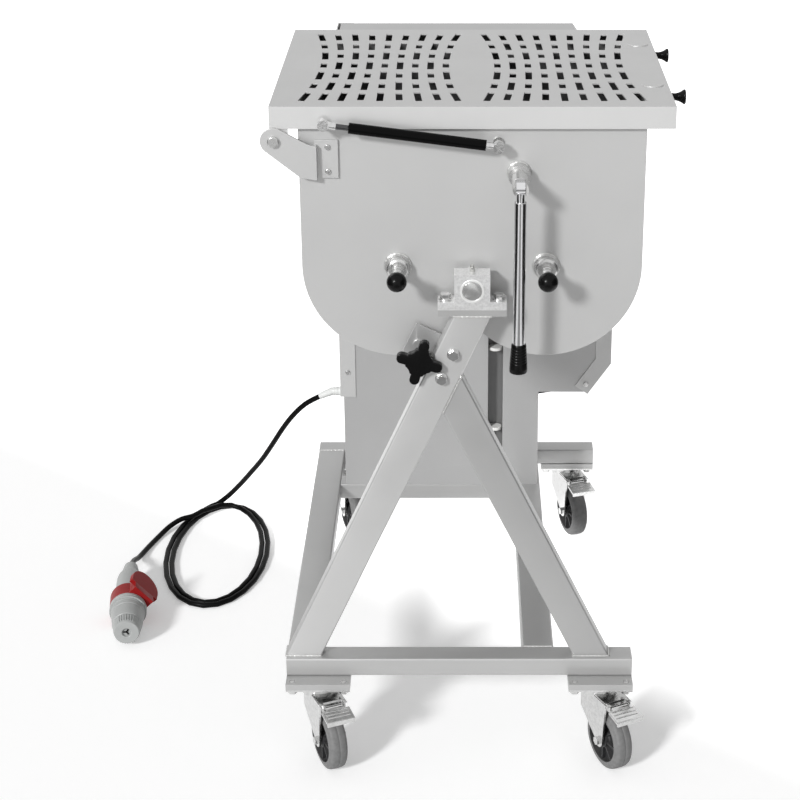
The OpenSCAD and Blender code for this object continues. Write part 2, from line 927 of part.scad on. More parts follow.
module cheek(x) {
    translate([x, 0, 0]) rotate([90, 0, 90]) linear_extrude(cheek_t) difference() {
        union() {
            translate([-trail, wheel_r]) circle(axle_boss_r);
            polygon([[cheek_back, crown_top - crown_t], [-neck_end, crown_top - crown_t],
                [-trail - axle_boss_r, wheel_r], [-trail + axle_boss_r, wheel_r],
                [cheek_back, cheek_knee_z]]);
        }
        translate([-trail, wheel_r]) circle(axle_r + hole_gap);
    }
}

module fork(i) {
    low = crown_top - crown_t;
    color("silver") at_caster(i) {
        difference() {
            union() {
                translate([0, 0, low]) cylinder(h = crown_t, r = crown_r);
                box(-cheek_out, cheek_out, -neck_end, crown_r / 2, low, low + neck_t / 2);
                for (x = [-pedal_barrel_w / 2 - pedal_ear_t - seat_gap, pedal_barrel_w / 2 + seat_gap])
                    box(x, x + pedal_ear_t, -pedal_axis_y - pedal_barrel_r, -neck_end + pedal_ear_t,
                        low - neck_t / 2, low + neck_t / 2);
            }
            translate([0, 0, low - over]) cylinder(h = crown_t + 2 * over, r = kingpin_r + run_gap);
        }
        cheek(-cheek_out);
        cheek(cheek_in);
        rod_x(-pedal_barrel_w / 2 - pedal_ear_t, -pedal_axis_y, pedal_axis_z,
            pedal_barrel_w + 2 * pedal_ear_t, pedal_pin_r);
        rod_x(-cheek_out, -trail, wheel_r, 2 * cheek_out, axle_r);
        for (x = [-cheek_out - axle_head_t, cheek_out])
            translate([x, -trail, wheel_r]) rotate([0, 90, 0])
                cylinder(h = axle_head_t, r = axle_head_r, $fn = 6);
    }
}

module wheel(i) {
    half = wheel_w / 2;
    color("dimgray") at_caster(i) translate([0, -trail, wheel_r]) rotate([0, 90, 0])
        rotate_extrude() polygon([
            [axle_r + run_gap, -half], [hub_r, -half], [hub_r, -web_t / 2], [rim_in_r, -web_t / 2],
            [rim_in_r, -half], [wheel_r - tread_round, -half], [wheel_r, -half + tread_round],
            [wheel_r, half - tread_round], [wheel_r - tread_round, half], [rim_in_r, half],
            [rim_in_r, web_t / 2], [hub_r, web_t / 2], [hub_r, half], [axle_r + run_gap, half]]);
}

// A sloping plate of a pedal, w wide, from y0 to y1 in front of the swivel axis
module pedal_plate(w, y0, y1) {
    z0 = pedal_axis_z - (y0 - pedal_axis_y) * pedal_slope;
    z1 = pedal_axis_z - (y1 - pedal_axis_y) * pedal_slope;
    translate([-w / 2, 0, 0]) rotate([90, 0, 90]) linear_extrude(w)
        polygon([[-y0, z0], [-y0, z0 + pedal_t], [-y1, z1 + pedal_t], [-y1, z1]]);
}

module pedal(i) {
    color("lightgray") at_caster(i) difference() {
        union() {
            rod_x(-pedal_barrel_w / 2, -pedal_axis_y, pedal_axis_z, pedal_barrel_w, pedal_barrel_r);
            pedal_plate(pedal_barrel_w, pedal_axis_y, pedal_axis_y + pedal_neck_l + over);
            pedal_plate(pedal_w, pedal_axis_y + pedal_neck_l, pedal_tip);
        }
        rod_x(-pedal_barrel_w, -pedal_axis_y, pedal_axis_z, 2 * pedal_barrel_w, pedal_pin_r + run_gap);
    }
}

module fork_front_left() { fork(0); }
module wheel_front_left() { wheel(0); }
module pedal_front_left() { pedal(0); }
module fork_front_right() { fork(1); }
module wheel_front_right() { wheel(1); }
module pedal_front_right() { pedal(1); }
module fork_rear_left() { fork(2); }
module wheel_rear_left() { wheel(2); }
module pedal_rear_left() { pedal(2); }
module fork_rear_right() { fork(3); }
module wheel_rear_right() { wheel(3); }
module pedal_rear_right() { pedal(3); }

// Drive cabinet

// Moves each side of a counter-clockwise outline inwards by d
function inset(pts, d) = [for (i = [0 : len(pts) - 1])
    let (n = len(pts), p = pts[i], a = p - pts[(i + n - 1) % n], b = pts[(i + 1) % n] - p,
        u = a / norm(a), v = b / norm(b), c = u[0] * v[1] - u[1] * v[0])
    p + d * (v - u) / c];

// The right cover follows the chamfer and the right side at a distance d outside the cabinet
chamfer_foot = [cab_right - chamfer_w, over_z];
chamfer_u = [chamfer_w, chamfer_h] / norm([chamfer_w, chamfer_h]);
chamfer_n = [chamfer_u[1], -chamfer_u[0]];

function cover_corner(d) =
    let (p = chamfer_foot + d * chamfer_n, t = (cab_right + d - p[0]) / chamfer_u[0])
    p + t * chamfer_u;

function cover_band(d_out, d_in) = [
    chamfer_foot + d_out * chamfer_n, cover_corner(d_out), [cab_right + d_out, cover_top],
    [cab_right + d_in, cover_top], cover_corner(d_in), chamfer_foot + d_in * chamfer_n];

right_low_screw = chamfer_foot + (cover_out - screw_in) * chamfer_n + screw_in * chamfer_u;
screw_places = [
    [cab_left - cover_out + screw_in, cover_z + lower_screw_up],
    [cab_left - cover_out + screw_in, upper_screw_z],
    right_low_screw,
    [cab_right + cover_out - screw_in, upper_screw_z]];

module screw_holes(y, t) {
    for (p = screw_places) rod_y(p[0], p[1], y - over, t + 2 * over, screw_r + seat_gap);
}

module cabinet_body() {
    color("darkgray") stand() {
        difference() {
            upright(cab_y, cab_d - back_t) polygon(cab_outline);
            upright(skin_in, cab_d) polygon(inset(cab_outline, cab_t));
            box(channel_x, channel_x + channel_w, cab_y - over, skin_in + over,
                channel_z, channel_z + channel_l);
            rod_y(0, tilt_z, cab_y - over, cab_t + 2 * over, drive_r + guard_gap);
            screw_holes(cab_y, cab_t);
        }
        difference() {
            box(channel_x - cab_t, channel_x + channel_w + cab_t, cab_y, cab_y + channel_d + cab_t,
                channel_z - cab_t, channel_z + channel_l + cab_t);
            box(channel_x, channel_x + channel_w, cab_y - over, cab_y + channel_d,
                channel_z, channel_z + channel_l);
        }
        upright(skin_in + wedge_t, wedge_t)
            polygon([[foot_right, over_z], [foot_right, over_z - wedge_h],
                [cab_right - chamfer_w, over_z]]);
    }
}

module back_panel() {
    color("darkgray") stand() difference() {
        union() {
            upright(frame_l - back_t, back_t) polygon(cab_outline);
            for (x = [button_x, button_x + button_gap])
                rod_y(x, button_z, frame_l - back_t, back_t + bezel_t, bezel_r);
        }
        for (x = [button_x, button_x + button_gap])
            rod_y(x, button_z, frame_l - back_t - over, back_t + bezel_t + 2 * over,
                button_r + seat_gap);
        screw_holes(frame_l - back_t, back_t);
    }
}

module side_covers() {
    y0 = cab_y - cover_t;
    y1 = frame_l + cover_t;
    x0 = cab_left - cover_out;
    color("darkgray") stand() difference() {
        union() {
            box(x0, x0 + cover_t, y0, y1, cover_z, left_cover_top);
            upright(y0, y1 - y0) polygon(cover_band(cover_out, cover_out - cover_t));
            for (y = [y0, frame_l]) {
                box(x0, x0 + cover_flange, y, y + cover_t, cover_z, left_cover_top);
                upright(y, cover_t) polygon(cover_band(cover_out, cover_out - cover_flange));
            }
        }
        screw_holes(y0, cover_t);
        screw_holes(frame_l, cover_t);
    }
}

module cover_screws() {
    color("lightgray") stand() for (p = screw_places) {
        rod_y(p[0], p[1], cab_y - cover_t - screw_head_t, screw_head_t, screw_head_r);
        rod_y(p[0], p[1], cab_y - cover_t - screw_head_t, screw_l, screw_r);
        rod_y(p[0], p[1], frame_l + cover_t, screw_head_t, screw_head_r);
        rod_y(p[0], p[1], frame_l + cover_t + screw_head_t - screw_l, screw_l, screw_r);
    }
}

module channel_buffers() {
    y = cab_y + channel_d - buffer_r - seat_gap;
    color("white") stand() for (z = [upper_buffer_z, lower_buffer_z])
        translate([channel_x + channel_w / 2, y, z - buffer_h]) cylinder(h = buffer_h, r = buffer_r);
}

module button(x) {
    rod_y(x, button_z, frame_l + button_out - button_l, button_l, button_r);
}

module start_button() { color("green") stand() button(button_x); }
module stop_button() { color("red") stand() button(button_x + button_gap); }

module rear_bearing() {
    half = rear_bearing_w / 2;
    color("lightgray") stand() difference() {
        box(-half, half, rear_bearing_y, cab_y, tilt_z - half, tilt_z + half);
        rod_y(0, tilt_z, rear_bearing_y - over, rear_bearing_t + 2 * over, neck_r + run_gap);
    }
}

motor_foot_t = 8;
fan_cover_l = 40;
fan_cover_r = motor_r + 3;
motor_y = skin_in + fan_cover_r + 2 * guard_gap;

// Gear reducer on the cabinet's front sheet with its motor hanging below
module gearmotor() {
    color("slategray") stand() {
        difference() {
            box(-reducer_w / 2, reducer_w / 2, skin_in, skin_in + reducer_l,
                tilt_z - reducer_h / 2, tilt_z + reducer_h / 2);
            rod_y(0, tilt_z, skin_in - over, drive_l + over, drive_r + run_gap);
        }
        translate([0, motor_y, tilt_z - reducer_h / 2 - motor_l]) {
            cylinder(h = motor_l, r = motor_r);
            cylinder(h = fan_cover_l, r = fan_cover_r);
        }
    }
}

module cable_gland() {
    color("whitesmoke") stand() translate([cab_left, gland_y, gland_z]) rotate([0, -90, 0])
        union() {
            cylinder(h = gland_hex_t, r = gland_hex_r, $fn = 6);
            cylinder(h = gland_l, r = gland_dome_r);
        }
}

// Tank

// The trough's outline, each side moved in by d and the top raised by extra
module trough(d, extra) {
    for (s = [-1, 1]) translate([s * shaft_x, shaft_z]) circle(lobe_r - d, $fn = 96);
    translate([-tank_half + d, shaft_z])
        square([2 * (tank_half - d), tank_top - shaft_z + extra]);
}

// The trough's sheet, welded between the end walls
module tank() {
    color("gainsboro") stand() difference() {
        upright(wall_in, tank_l - 2 * end_t) trough(0, 0);
        upright(wall_in - over, tank_l - 2 * end_t + 2 * over) trough(sheet_t, over);
    }
}

// Front wall with the pins' holes and rear wall with the shafts' holes
module end_walls() {
    color("gainsboro") stand() for (wall = [[tank_y, shaft_pin_r], [wall_back_in, shaft_r]])
        difference() {
            upright(wall[0], end_t) trough(0, 0);
            for (s = [-1, 1])
                rod_y(s * shaft_x, shaft_z, wall[0] - over, end_t + 2 * over, wall[1] + run_gap);
        }
}

// A ball on a neck that stands on a round foot, the foot's back on depth y
module ball_stud(x, z, y) {
    translate([x, strut_y, z]) sphere(ball_r);
    rod_y(x, z, strut_y, y - strut_y, stud_neck_r);
    rod_y(x, z, y - stud_foot_t, stud_foot_t, stud_foot_r);
}

// Bosses welded to the front wall: pin collars, handle boss and the strut's tank stud
module wall_bosses() {
    color("silver") stand() {
        for (s = [-1, 1]) difference() {
            rod_y(s * shaft_x, shaft_z, tank_y - collar_t, collar_t, collar_r);
            rod_y(s * shaft_x, shaft_z, tank_y - collar_t - over, collar_t + 2 * over,
                shaft_pin_r + run_gap);
        }
        ball_stud(tank_stud_out, tank_stud_z, tank_y);
        difference() {
            union() {
                rod_y(handle_out, handle_z, boss_front, tank_y - boss_front, handle_boss_r);
                rod_y(handle_out, handle_z, tank_y - handle_collar_l, handle_collar_l,
                    handle_collar_r);
            }
            box(handle_out - handle_slot_w / 2, handle_out + handle_slot_w / 2,
                boss_front - over, handle_y + handle_eye_r + guard_gap,
                handle_z - 2 * handle_boss_r, handle_z + 2 * handle_boss_r);
        }
        rod_x(handle_out - handle_slot_w / 2 - over, handle_y, handle_z,
            handle_slot_w + 2 * over, handle_pin_r);
    }
}

trunnion_flange_r = 20;
trunnion_flange_t = 6;

module front_trunnion() {
    color("silver") stand() {
        rod_y(0, tilt_z, leg_y - guard_gap, tank_y - leg_y + guard_gap, trunnion_r);
        rod_y(0, tilt_z, tank_y - trunnion_flange_t, trunnion_flange_t, trunnion_flange_r);
    }
}

// Lid hinge

// Point on the arm's round end at angle a
function arm_point(a) = [pivot_x + arm_r * cos(a), pivot_z + arm_r * sin(a)];

arm_low_ang = 230;
arm_high_ang = 62;
arm_top_drop = 4;
fold_top_drop = 7;
fold_top_z = pivot_z - fold_top_drop;
arm_screw_in = 10;
flange_up = 3;
arm_screw_x = fold_x + arm_t + (arm_flange_w - arm_t) / 2;

module arm_outline() {
    translate([pivot_x, pivot_z]) circle(arm_r);
    polygon([[pivot_x, pivot_z], arm_point(arm_low_ang),
        [-tank_half + arm_r / 8, fold_top_z - arm_fold_h + arm_top_drop],
        [fold_x, fold_top_z - arm_fold_h],
        [fold_x, fold_top_z],
        [fold_x - arm_knee_in, pivot_z - arm_top_drop],
        arm_point(arm_high_ang)]);
}

// One hinge arm for the front end wall
module hinge_arm() {
    flange_top = fold_top_z + (arm_flange_h - arm_fold_h) / 2 + flange_up;
    difference() {
        union() {
            upright(arm_y, arm_t) arm_outline();
            box(fold_x, fold_x + arm_t, arm_y, tank_y, fold_top_z - arm_fold_h, fold_top_z);
            box(fold_x, fold_x + arm_flange_w, tank_y - arm_t, tank_y,
                flange_top - arm_flange_h, flange_top);
        }
        rod_y(pivot_x, pivot_z, arm_y - over, arm_t + 2 * over, hinge_pin_r + run_gap);
    }
}

// Repeats a front piece at the rear end of the tank, as its mirror image
module both_ends() {
    children();
    translate([0, 2 * tank_y + tank_l, 0]) mirror([0, 1, 0]) children();
}

module hinge_arms() {
    color("silver") stand() both_ends() hinge_arm();
}

module arm_screws() {
    flange_top = fold_top_z + (arm_flange_h - arm_fold_h) / 2 + flange_up;
    color("lightgray") stand() both_ends()
        for (z = [flange_top - arm_screw_in, flange_top - arm_flange_h + arm_screw_in])
            rod_y(arm_screw_x, z, tank_y - arm_t - arm_screw_t, arm_screw_t, arm_screw_r);
}

module hinge_pins() {
    pin_end = lid_y + lid_t + arm_t + guard_gap;
    color("lightgray") stand() both_ends() {
        rod_y(pivot_x, pivot_z, arm_y - hinge_head_t, hinge_head_t, hinge_head_r);
        rod_y(pivot_x, pivot_z, arm_y - hinge_head_t, pin_end - arm_y + hinge_head_t, hinge_pin_r);
    }
}

// Lid

// Distance of column c from its group's middle at row r, in the arcs' hourglass shape
function slot_x(c, r) =
    let (u = (2 * r - slot_rows + 1) / (slot_rows - 1))
    (c - (slot_columns - 1) / 2) * (column_pitch + column_flare * u * u);

// Slope of the arc of column c at row r, as an angle
function slot_turn(c, r) =
    let (u = (2 * r - slot_rows + 1) / (slot_rows - 1), half = row_pitch * (slot_rows - 1) / 2)
    -atan((c - (slot_columns - 1) / 2) * column_flare * 2 * u / half);

module slots() {
    for (g = [-group_x, group_x])
        for (c = [0 : slot_columns - 1])
            for (r = [0 : slot_rows - 1]) {
                kind = c % 2 == 0 ? odd_pattern[r] : even_pattern[r];
                y = lid_y + lid_l / 2 + (r - (slot_rows - 1) / 2) * row_pitch;
                translate([g + slot_x(c, r), y]) rotate(slot_turn(c, r))
                    square([slot_w, slot_lengths[kind]], center = true);
            }
}

module lid_ear() {
    x0 = -lid_w / 2 + lid_t;
    difference() {
        union() {
            rod_y(pivot_x, pivot_z, lid_y + lid_t, arm_t, ear_r);
            box(x0, x0 + ear_w, lid_y + lid_t, lid_y + lid_t + arm_t, pivot_z, lid_top - lid_t);
        }
        rod_y(pivot_x, pivot_z, lid_y, lid_over, hinge_pin_r + run_gap);
    }
}

module lid() {
    half = lid_w / 2;
    low = lid_top - skirt_h;
    color("gainsboro") stand() difference() {
        union() {
            translate([0, 0, lid_top - lid_t]) linear_extrude(lid_t) difference() {
                translate([-half, lid_y]) square([lid_w, lid_l]);
                slots();
            }
            difference() {
                box(-half, half, lid_y, lid_back, low, lid_top - lid_t / 2);
                box(-half + lid_t, half - lid_t, lid_y + lid_t, lid_back - lid_t, low - over, lid_top);
            }
            both_ends() lid_ear();
            for (y = [front_catch_y, rear_catch_y]) {
                translate([half - boss_in, y, lid_top]) cylinder(h = boss_h, r = boss_r);
                translate([half, y, catch_z]) rotate([0, 90, 0])
                    cylinder(h = catch_nut_t, r = catch_neck_r + over, $fn = 6);
            }
        }
        for (y = [front_catch_y, rear_catch_y])
            rod_x(half - 2 * lid_t, y, catch_z, 4 * lid_t + catch_nut_t, catch_pin_r + run_gap);
    }
}

// A trumpet-shaped knob on a pin that passes through the lid's right skirt
module catch(y) {
    start = lid_w / 2 + catch_nut_t;
    color("black") stand() translate([0, y, catch_z]) {
        rod_x(catch_tip_x, 0, 0, start - catch_tip_x, catch_pin_r);
        translate([start, 0, 0]) rotate([0, 90, 0]) rotate_extrude() polygon([
            [0, 0], [catch_neck_r, 0], [catch_neck_r, catch_l / 2],
            [catch_head_r - over, catch_l * 3 / 4], [catch_head_r, catch_l - over],
            [catch_head_r - over, catch_l], [0, catch_l]]);
    }
}

module front_catch() { catch(front_catch_y); }
module rear_catch() { catch(rear_catch_y); }

// Gas strut: local -X runs from the tank's stud to the lid's stud

module along_strut() {
    stand() translate([tank_stud_out, strut_y, tank_stud_z]) rotate([0, strut_ang, 0]) children();
}

// Socket round a ball at the origin, open towards +Y for the stud's neck
module socket_cut() {
    sphere(ball_r + seat_gap);
    rod_y(0, 0, 0, socket_h, stud_neck_r + 2 * seat_gap);
}

module strut_cylinder() {
    color("black") along_strut() difference() {
        union() {
            rod_y(0, 0, -socket_h / 2, socket_h, socket_r);
            rod_x(-strut_fit_l, 0, 0, strut_fit_l, rod_r + over);
            rod_x(-strut_mouth, 0, 0, strut_mouth - strut_fit_l, strut_r);
        }
        socket_cut();
        rod_x(-strut_mouth - over, 0, 0, strut_mouth + over - strut_blind, rod_r + run_gap);
    }
}

module strut_rod() {
    color("gray") along_strut() {
        difference() {
            union() {
                translate([-strut_closed, 0, 0]) rod_y(0, 0, -socket_h / 2, socket_h, socket_r);
                rod_x(-strut_closed, 0, 0, rod_fit_l, rod_r + 2 * over);
                rod_x(-strut_closed, 0, 0, strut_closed - strut_blind - seat_gap, rod_r);
            }
            translate([-strut_closed, 0, 0]) socket_cut();
        }
        translate([-strut_closed, 0, 0]) {
            sphere(ball_r);
            rod_y(0, 0, 0, lid_y - seat_gap - strut_y, stud_neck_r);
            rod_y(0, 0, socket_h / 2 + seat_gap, lid_y - strut_y - socket_h / 2 - 2 * seat_gap,
                stud_neck_r);
        }
    }
}

// Tilt handle

module handle_rod() {
    neck_end_z = handle_z - handle_neck_l;
    color("silver") stand() difference() {
        union() {
            rod_x(handle_out - handle_slot_w / 2 + seat_gap, handle_y, handle_z,
                handle_slot_w - 2 * seat_gap, handle_eye_r);
            translate([handle_out, handle_y, neck_end_z])
                cylinder(h = handle_neck_l - handle_eye_r / 2, r = handle_neck_r);
            translate([handle_out, handle_y, handle_z - handle_l + grip_l / 2])
                cylinder(h = handle_l - handle_neck_l - grip_l / 2, r = handle_tube_r);
        }
        rod_x(handle_out - handle_slot_w, handle_y, handle_z, 2 * handle_slot_w,
            handle_pin_r + run_gap);
    }
}

module handle_grip() {
    low = handle_z - handle_l;
    color("black") stand() translate([handle_out, handle_y, low]) rotate_extrude() polygon([
        [0, 0], [grip_end_r - over, 0], [grip_end_r, over], [grip_end_r, grip_l / 4],
        [grip_top_r, grip_l - over], [grip_top_r - over, grip_l], [handle_tube_r + run_gap, grip_l],
        [handle_tube_r + run_gap, grip_l / 2], [0, grip_l / 2]]);
}

// Shaft pins

module shaft_pin(s) {
    knob_y = tank_y - collar_t - pin_knob_out;
    color("silver") stand() {
        rod_y(s * shaft_x, shaft_z, pin_face - sleeve_l, sleeve_l, sleeve_r);
        rod_y(s * shaft_x, shaft_z, knob_y, wall_in + guard_gap + pin_depth - knob_y, shaft_pin_r);
    }
    color("black") stand() translate([s * shaft_x, knob_y, shaft_z]) sphere(pin_knob_r);
}

module left_pin() { shaft_pin(-1); }
module right_pin() { shaft_pin(1); }

// Mixing shafts

blade_first = 34;
blade_places = 7;
blade_turn = 90;
blade_phase = 20;
blade_pitch_ang = 28;

// A shaft with blades from blade number first, every other place, so both shafts interleave
module paddle(s, first) {
    y0 = wall_in + guard_gap;
    y1 = step_y + gear_face;
    color("gainsboro") stand() difference() {
        union() {
            rod_y(s * shaft_x, shaft_z, y0, y1 - y0, shaft_r);
            for (i = [first : 2 : blade_places - 1])
                translate([s * shaft_x, wall_in + blade_first + i * blade_step, shaft_z])
                    rotate([0, i * blade_turn / 2 + s * blade_phase, 0]) {
                        cylinder(h = blade_reach - blade_h, r = blade_arm_r);
                        translate([0, 0, blade_reach - blade_h]) rotate([0, 0, s * blade_pitch_ang])
                            translate([-blade_t / 2, -blade_w / 2, 0])
                                cube([blade_t, blade_w, blade_h]);
                    }
        }
        rod_y(s * shaft_x, shaft_z, y0 - over, pin_depth + over + guard_gap, shaft_pin_r + run_gap);
    }
}

module left_paddle() { paddle(-1, 0); }
module right_paddle() { paddle(1, 1); }

// Gears

// Outline of a spur gear with n teeth of module m, one tooth on the angle turn
module gear_outline(n, m, turn) {
    tip = m * (n / 2 + addendum_share);
    root = m * (n / 2 - dedendum_share);
    polygon([for (i = [0 : n - 1], k = [[root, -root_share], [tip, -tip_share],
        [tip, tip_share], [root, root_share]])
        let (a = turn + (i + k[1]) * 360 / n) k[0] * [cos(a), sin(a)]]);
}

module left_gear() {
    color("darkgray") stand() difference() {
        union() {
            upright(gear_y, gear_face) translate([-shaft_x, shaft_z])
                gear_outline(gear_teeth, gear_module, 0);
            upright(step_y, pinion_face) translate([-shaft_x, shaft_z])
                gear_outline(gear_teeth, pinion_module, pinion_dir);
        }
        rod_y(-shaft_x, shaft_z, gear_y - over, gear_face + pinion_face + 2 * over,
            shaft_r + run_gap);
    }
}

module right_gear() {
    color("darkgray") stand() difference() {
        upright(gear_y, gear_face) translate([shaft_x, shaft_z])
            gear_outline(gear_teeth, gear_module, 180 / gear_teeth);
        rod_y(shaft_x, shaft_z, gear_y - over, gear_face + 2 * over, shaft_r + run_gap);
    }
}

module drive_pinion() {
    gap_turn = pinion_dir + 180 + 180 / pinion_teeth;
    color("darkgray") stand() {
        upright(pinion_y, pinion_face - guard_gap) translate([0, tilt_z])
            gear_outline(pinion_teeth, pinion_module, gap_turn);
        rod_y(0, tilt_z, pinion_y, skin_in + drive_l - guard_gap - pinion_y, drive_r);
    }
}

// Gear case: a closed box with a hollow rear trunnion on the tilt axis
module case_outline(d) {
    for (s = [-1, 1]) translate([s * shaft_x, shaft_z]) circle(case_r - d);
    translate([0, tilt_z]) circle(case_low_r - d);
    translate([-shaft_x, shaft_z]) square([2 * shaft_x, case_r - d]);
}

module gear_case() {
    neck_end_y = cab_y - seat_gap;
    color("silver") stand() difference() {
        union() {
            upright(tank_back, case_l) case_outline(0);
            rod_y(0, tilt_z, case_back, neck_end_y - case_back, neck_r);
        }
        upright(tank_back + case_t, case_l - 2 * case_t) case_outline(case_t);
        rod_y(0, tilt_z, case_back - 2 * case_t, neck_end_y - case_back + 3 * case_t,
            drive_r + guard_gap);
        for (s = [-1, 1])
            rod_y(s * shaft_x, shaft_z, tank_back - over, case_t + 2 * over, shaft_r + run_gap);
    }
}

// Cord

// Catmull-Rom point between b and c at t
function blend(a, b, c, d, t) =
    (2 * b + (c - a) * t + (2 * a - 5 * b + 4 * c - d) * t * t
        + (3 * b - a - 3 * c + d) * t * t * t) / 2;

// Points of a smooth line through pts, n to each stretch
function smooth(pts, n) = [for (i = [0 : len(pts) - 2], k = [0 : n - 1])
    blend(pts[max(i - 1, 0)], pts[i], pts[i + 1], pts[min(i + 2, len(pts) - 1)], k / n),
    pts[len(pts) - 1]];

function unit(v) = v / norm(v);

function along(pts, i) = unit(pts[min(i + 1, len(pts) - 1)] - pts[max(i - 1, 0)]);

// A ring of n points with radius r round p, square to direction d
function ring(p, d, r, n) =
    let (s = unit(cross([0, 0, 1], d)), u = cross(d, s))
    [for (k = [0 : n - 1]) p + r * (cos(360 * k / n) * s + sin(360 * k / n) * u)];

// Sweeps a tube of n sides along the points
module sweep(pts, r, n) {
    m = len(pts);
    rings = [for (i = [0 : m - 1]) each ring(pts[i], along(pts, i), r, n)];
    sides = [for (i = [0 : m - 2], k = [0 : n - 1])
        let (a = i * n + k, b = i * n + (k + 1) % n)
        each [[a, b, b + n], [a, b + n, a + n]]];
    first = [for (k = [1 : n - 2]) [0, k + 1, k]];
    last = [for (k = [1 : n - 2]) [(m - 1) * n, (m - 1) * n + k, (m - 1) * n + k + 1]];
    polyhedron(points = rings, faces = concat(sides, first, last));
}

// Point of the loops at q turns: a flat spiral inwards that climbs at its end
function loop_point(q) =
    let (a = loop_start + 360 * q, up = max(0, (360 * (q - loop_count) + loop_climb) / loop_climb))
    [loop_x + (loop_rx - loop_pitch * q) * cos(a), loop_y + (loop_ry - loop_pitch * q) * sin(a),
        cord_r + loop_lift * up * up * (3 - 2 * up)];

loop_points = [for (i = [0 : loop_count * loop_rings]) loop_point(i / loop_rings)];
loop_first = loop_points[0];
loop_last = loop_points[len(loop_points) - 1];
loop_in = unit(loop_points[1] - loop_first);
loop_out = unit(loop_last - loop_points[len(loop_points) - 2]);
plug_dir = [sin(plug_turn), -cos(plug_turn), 0];
plug_start = [plug_x, plug_y, plug_axis_z];

loop_line = concat([loop_first - cord_d * loop_in], loop_points, [loop_last + cord_d * loop_out]);

// Least distance between the loops' own turns, less the cord's diameter
loop_gap = min([for (i = [0 : len(loop_points) - 1], j = [i + loop_rings / 2 : len(loop_points) - 1])
    norm(loop_points[i] - loop_points[j])]) - cord_d;
echo(loop_gap = loop_gap);

// Each free stretch leaves and arrives straight for one diameter
loop_end = loop_line[len(loop_line) - 1];
lead_line = concat([gland_face], smooth(concat([gland_face - [cord_d, 0, 0]], lead_points,
    [loop_line[0] - cord_d * loop_in]), tail_rings), [loop_line[0]]);
tail_line = concat([loop_end], smooth(concat([loop_end + cord_d * loop_out], tail_points,
    [plug_start - cord_d * plug_dir]), tail_rings), [plug_start]);

module cord() {
    color("black") stand() {
        sweep(lead_line, cord_r, cord_sides);
        sweep(tail_line, cord_r, cord_sides);
    }
}

module cord_loops() {
    color("black") stand() sweep(loop_line, cord_r, loop_sides);
}

// Plug and connector lie on the floor, their axis along local +X from the cord's entry

module along_plug() {
    stand() translate(plug_start) rotate([0, 0, plug_turn - 90]) rotate([0, 90, 0]) children();
}

collar_from = 122;
collar_l = 37;
plug_neck_r = 13;
dome_from = 40;
dome_r = 19;
waist_r = 26;
flange_l = 12;
barrel_r = 30;
barrel_end_r = 26;
tip_from = 60;
tip_r = 22;
tip_bore_r = 7;
tip_bore_l = 4;
flap_side = 42;
flap_l = 45;
flap_w = 60;
flap_t = 8;
flap_turn = 8;
hinge_w = 44;

// Grey plug: a domed body with a cable grip behind the collar, and a tapering barrel before it
module plug() {
    front_l = plug_l - collar_from - collar_l;
    color("silver") along_plug() {
        rotate_extrude() polygon([[0, 0], [plug_neck_r, 0], [dome_r - over, dome_from - over],
            [dome_r, dome_from], [waist_r, collar_from], [0, collar_from]]);
        translate([0, 0, collar_from + collar_l]) difference() {
            rotate_extrude() polygon([[0, 0], [plug_r, 0], [plug_r, flange_l], [barrel_r, flange_l],
                [barrel_end_r, tip_from], [tip_r, front_l], [0, front_l]]);
            translate([0, 0, front_l - tip_bore_l]) cylinder(h = tip_bore_l + over, r = tip_bore_r);
        }
    }
}

// Red collar of the connector, with its sprung flap standing open over the grey body
module connector() {
    color("firebrick") along_plug() {
        translate([0, 0, collar_from]) cylinder(h = collar_l, r = plug_r);
        rotate([0, 0, flap_side]) {
            box(-hinge_w / 2, hinge_w / 2, plug_r - flap_t, plug_r + flap_t,
                collar_from + over, collar_from + collar_l - over);
            translate([0, plug_r + flap_t, collar_from + collar_l / 2]) rotate([flap_turn, 0, 0]) {
                box(-flap_w / 2, flap_w / 2, -flap_t, 0, flap_w / 2 - flap_l, 0);
                intersection() {
                    rod_y(0, flap_w / 2 - flap_l, -flap_t, flap_t, flap_w / 2);
                    box(-flap_w / 2, flap_w / 2, -flap_t, 0, -flap_l, 0);
                }
            }
        }
    }
}

crossbars();
side_rails();
frame_plates();
long_leg();
brace_leg();
bearing_block();
bearing_bush();
frame_bolts();
grease_nipple();
lock_bracket();
lock_knob();
caster_plates();
fork_front_left();
wheel_front_left();
pedal_front_left();
fork_front_right();
wheel_front_right();
pedal_front_right();
fork_rear_left();
wheel_rear_left();
pedal_rear_left();
fork_rear_right();
wheel_rear_right();
pedal_rear_right();
cabinet_body();
side_covers();
back_panel();
cover_screws();
channel_buffers();
start_button();
stop_button();
rear_bearing();
gearmotor();
cable_gland();
tank();
end_walls();
wall_bosses();
front_trunnion();
hinge_arms();
arm_screws();
hinge_pins();
lid();
front_catch();
rear_catch();
strut_cylinder();
strut_rod();
handle_rod();
handle_grip();
left_pin();
right_pin();
left_paddle();
right_paddle();
gear_case();
left_gear();
right_gear();
drive_pinion();
cord();
cord_loops();
plug();
connector();
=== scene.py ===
"""Twin-shaft meat mixer with a tilting tank, dressed for rendering. Blender works in metres."""

import json
import math
import bmesh
import bpy
from bpy.props import FloatProperty, FloatVectorProperty, IntProperty, PointerProperty
from bpy.types import Operator, Panel, PropertyGroup
from mathutils import Matrix, Vector

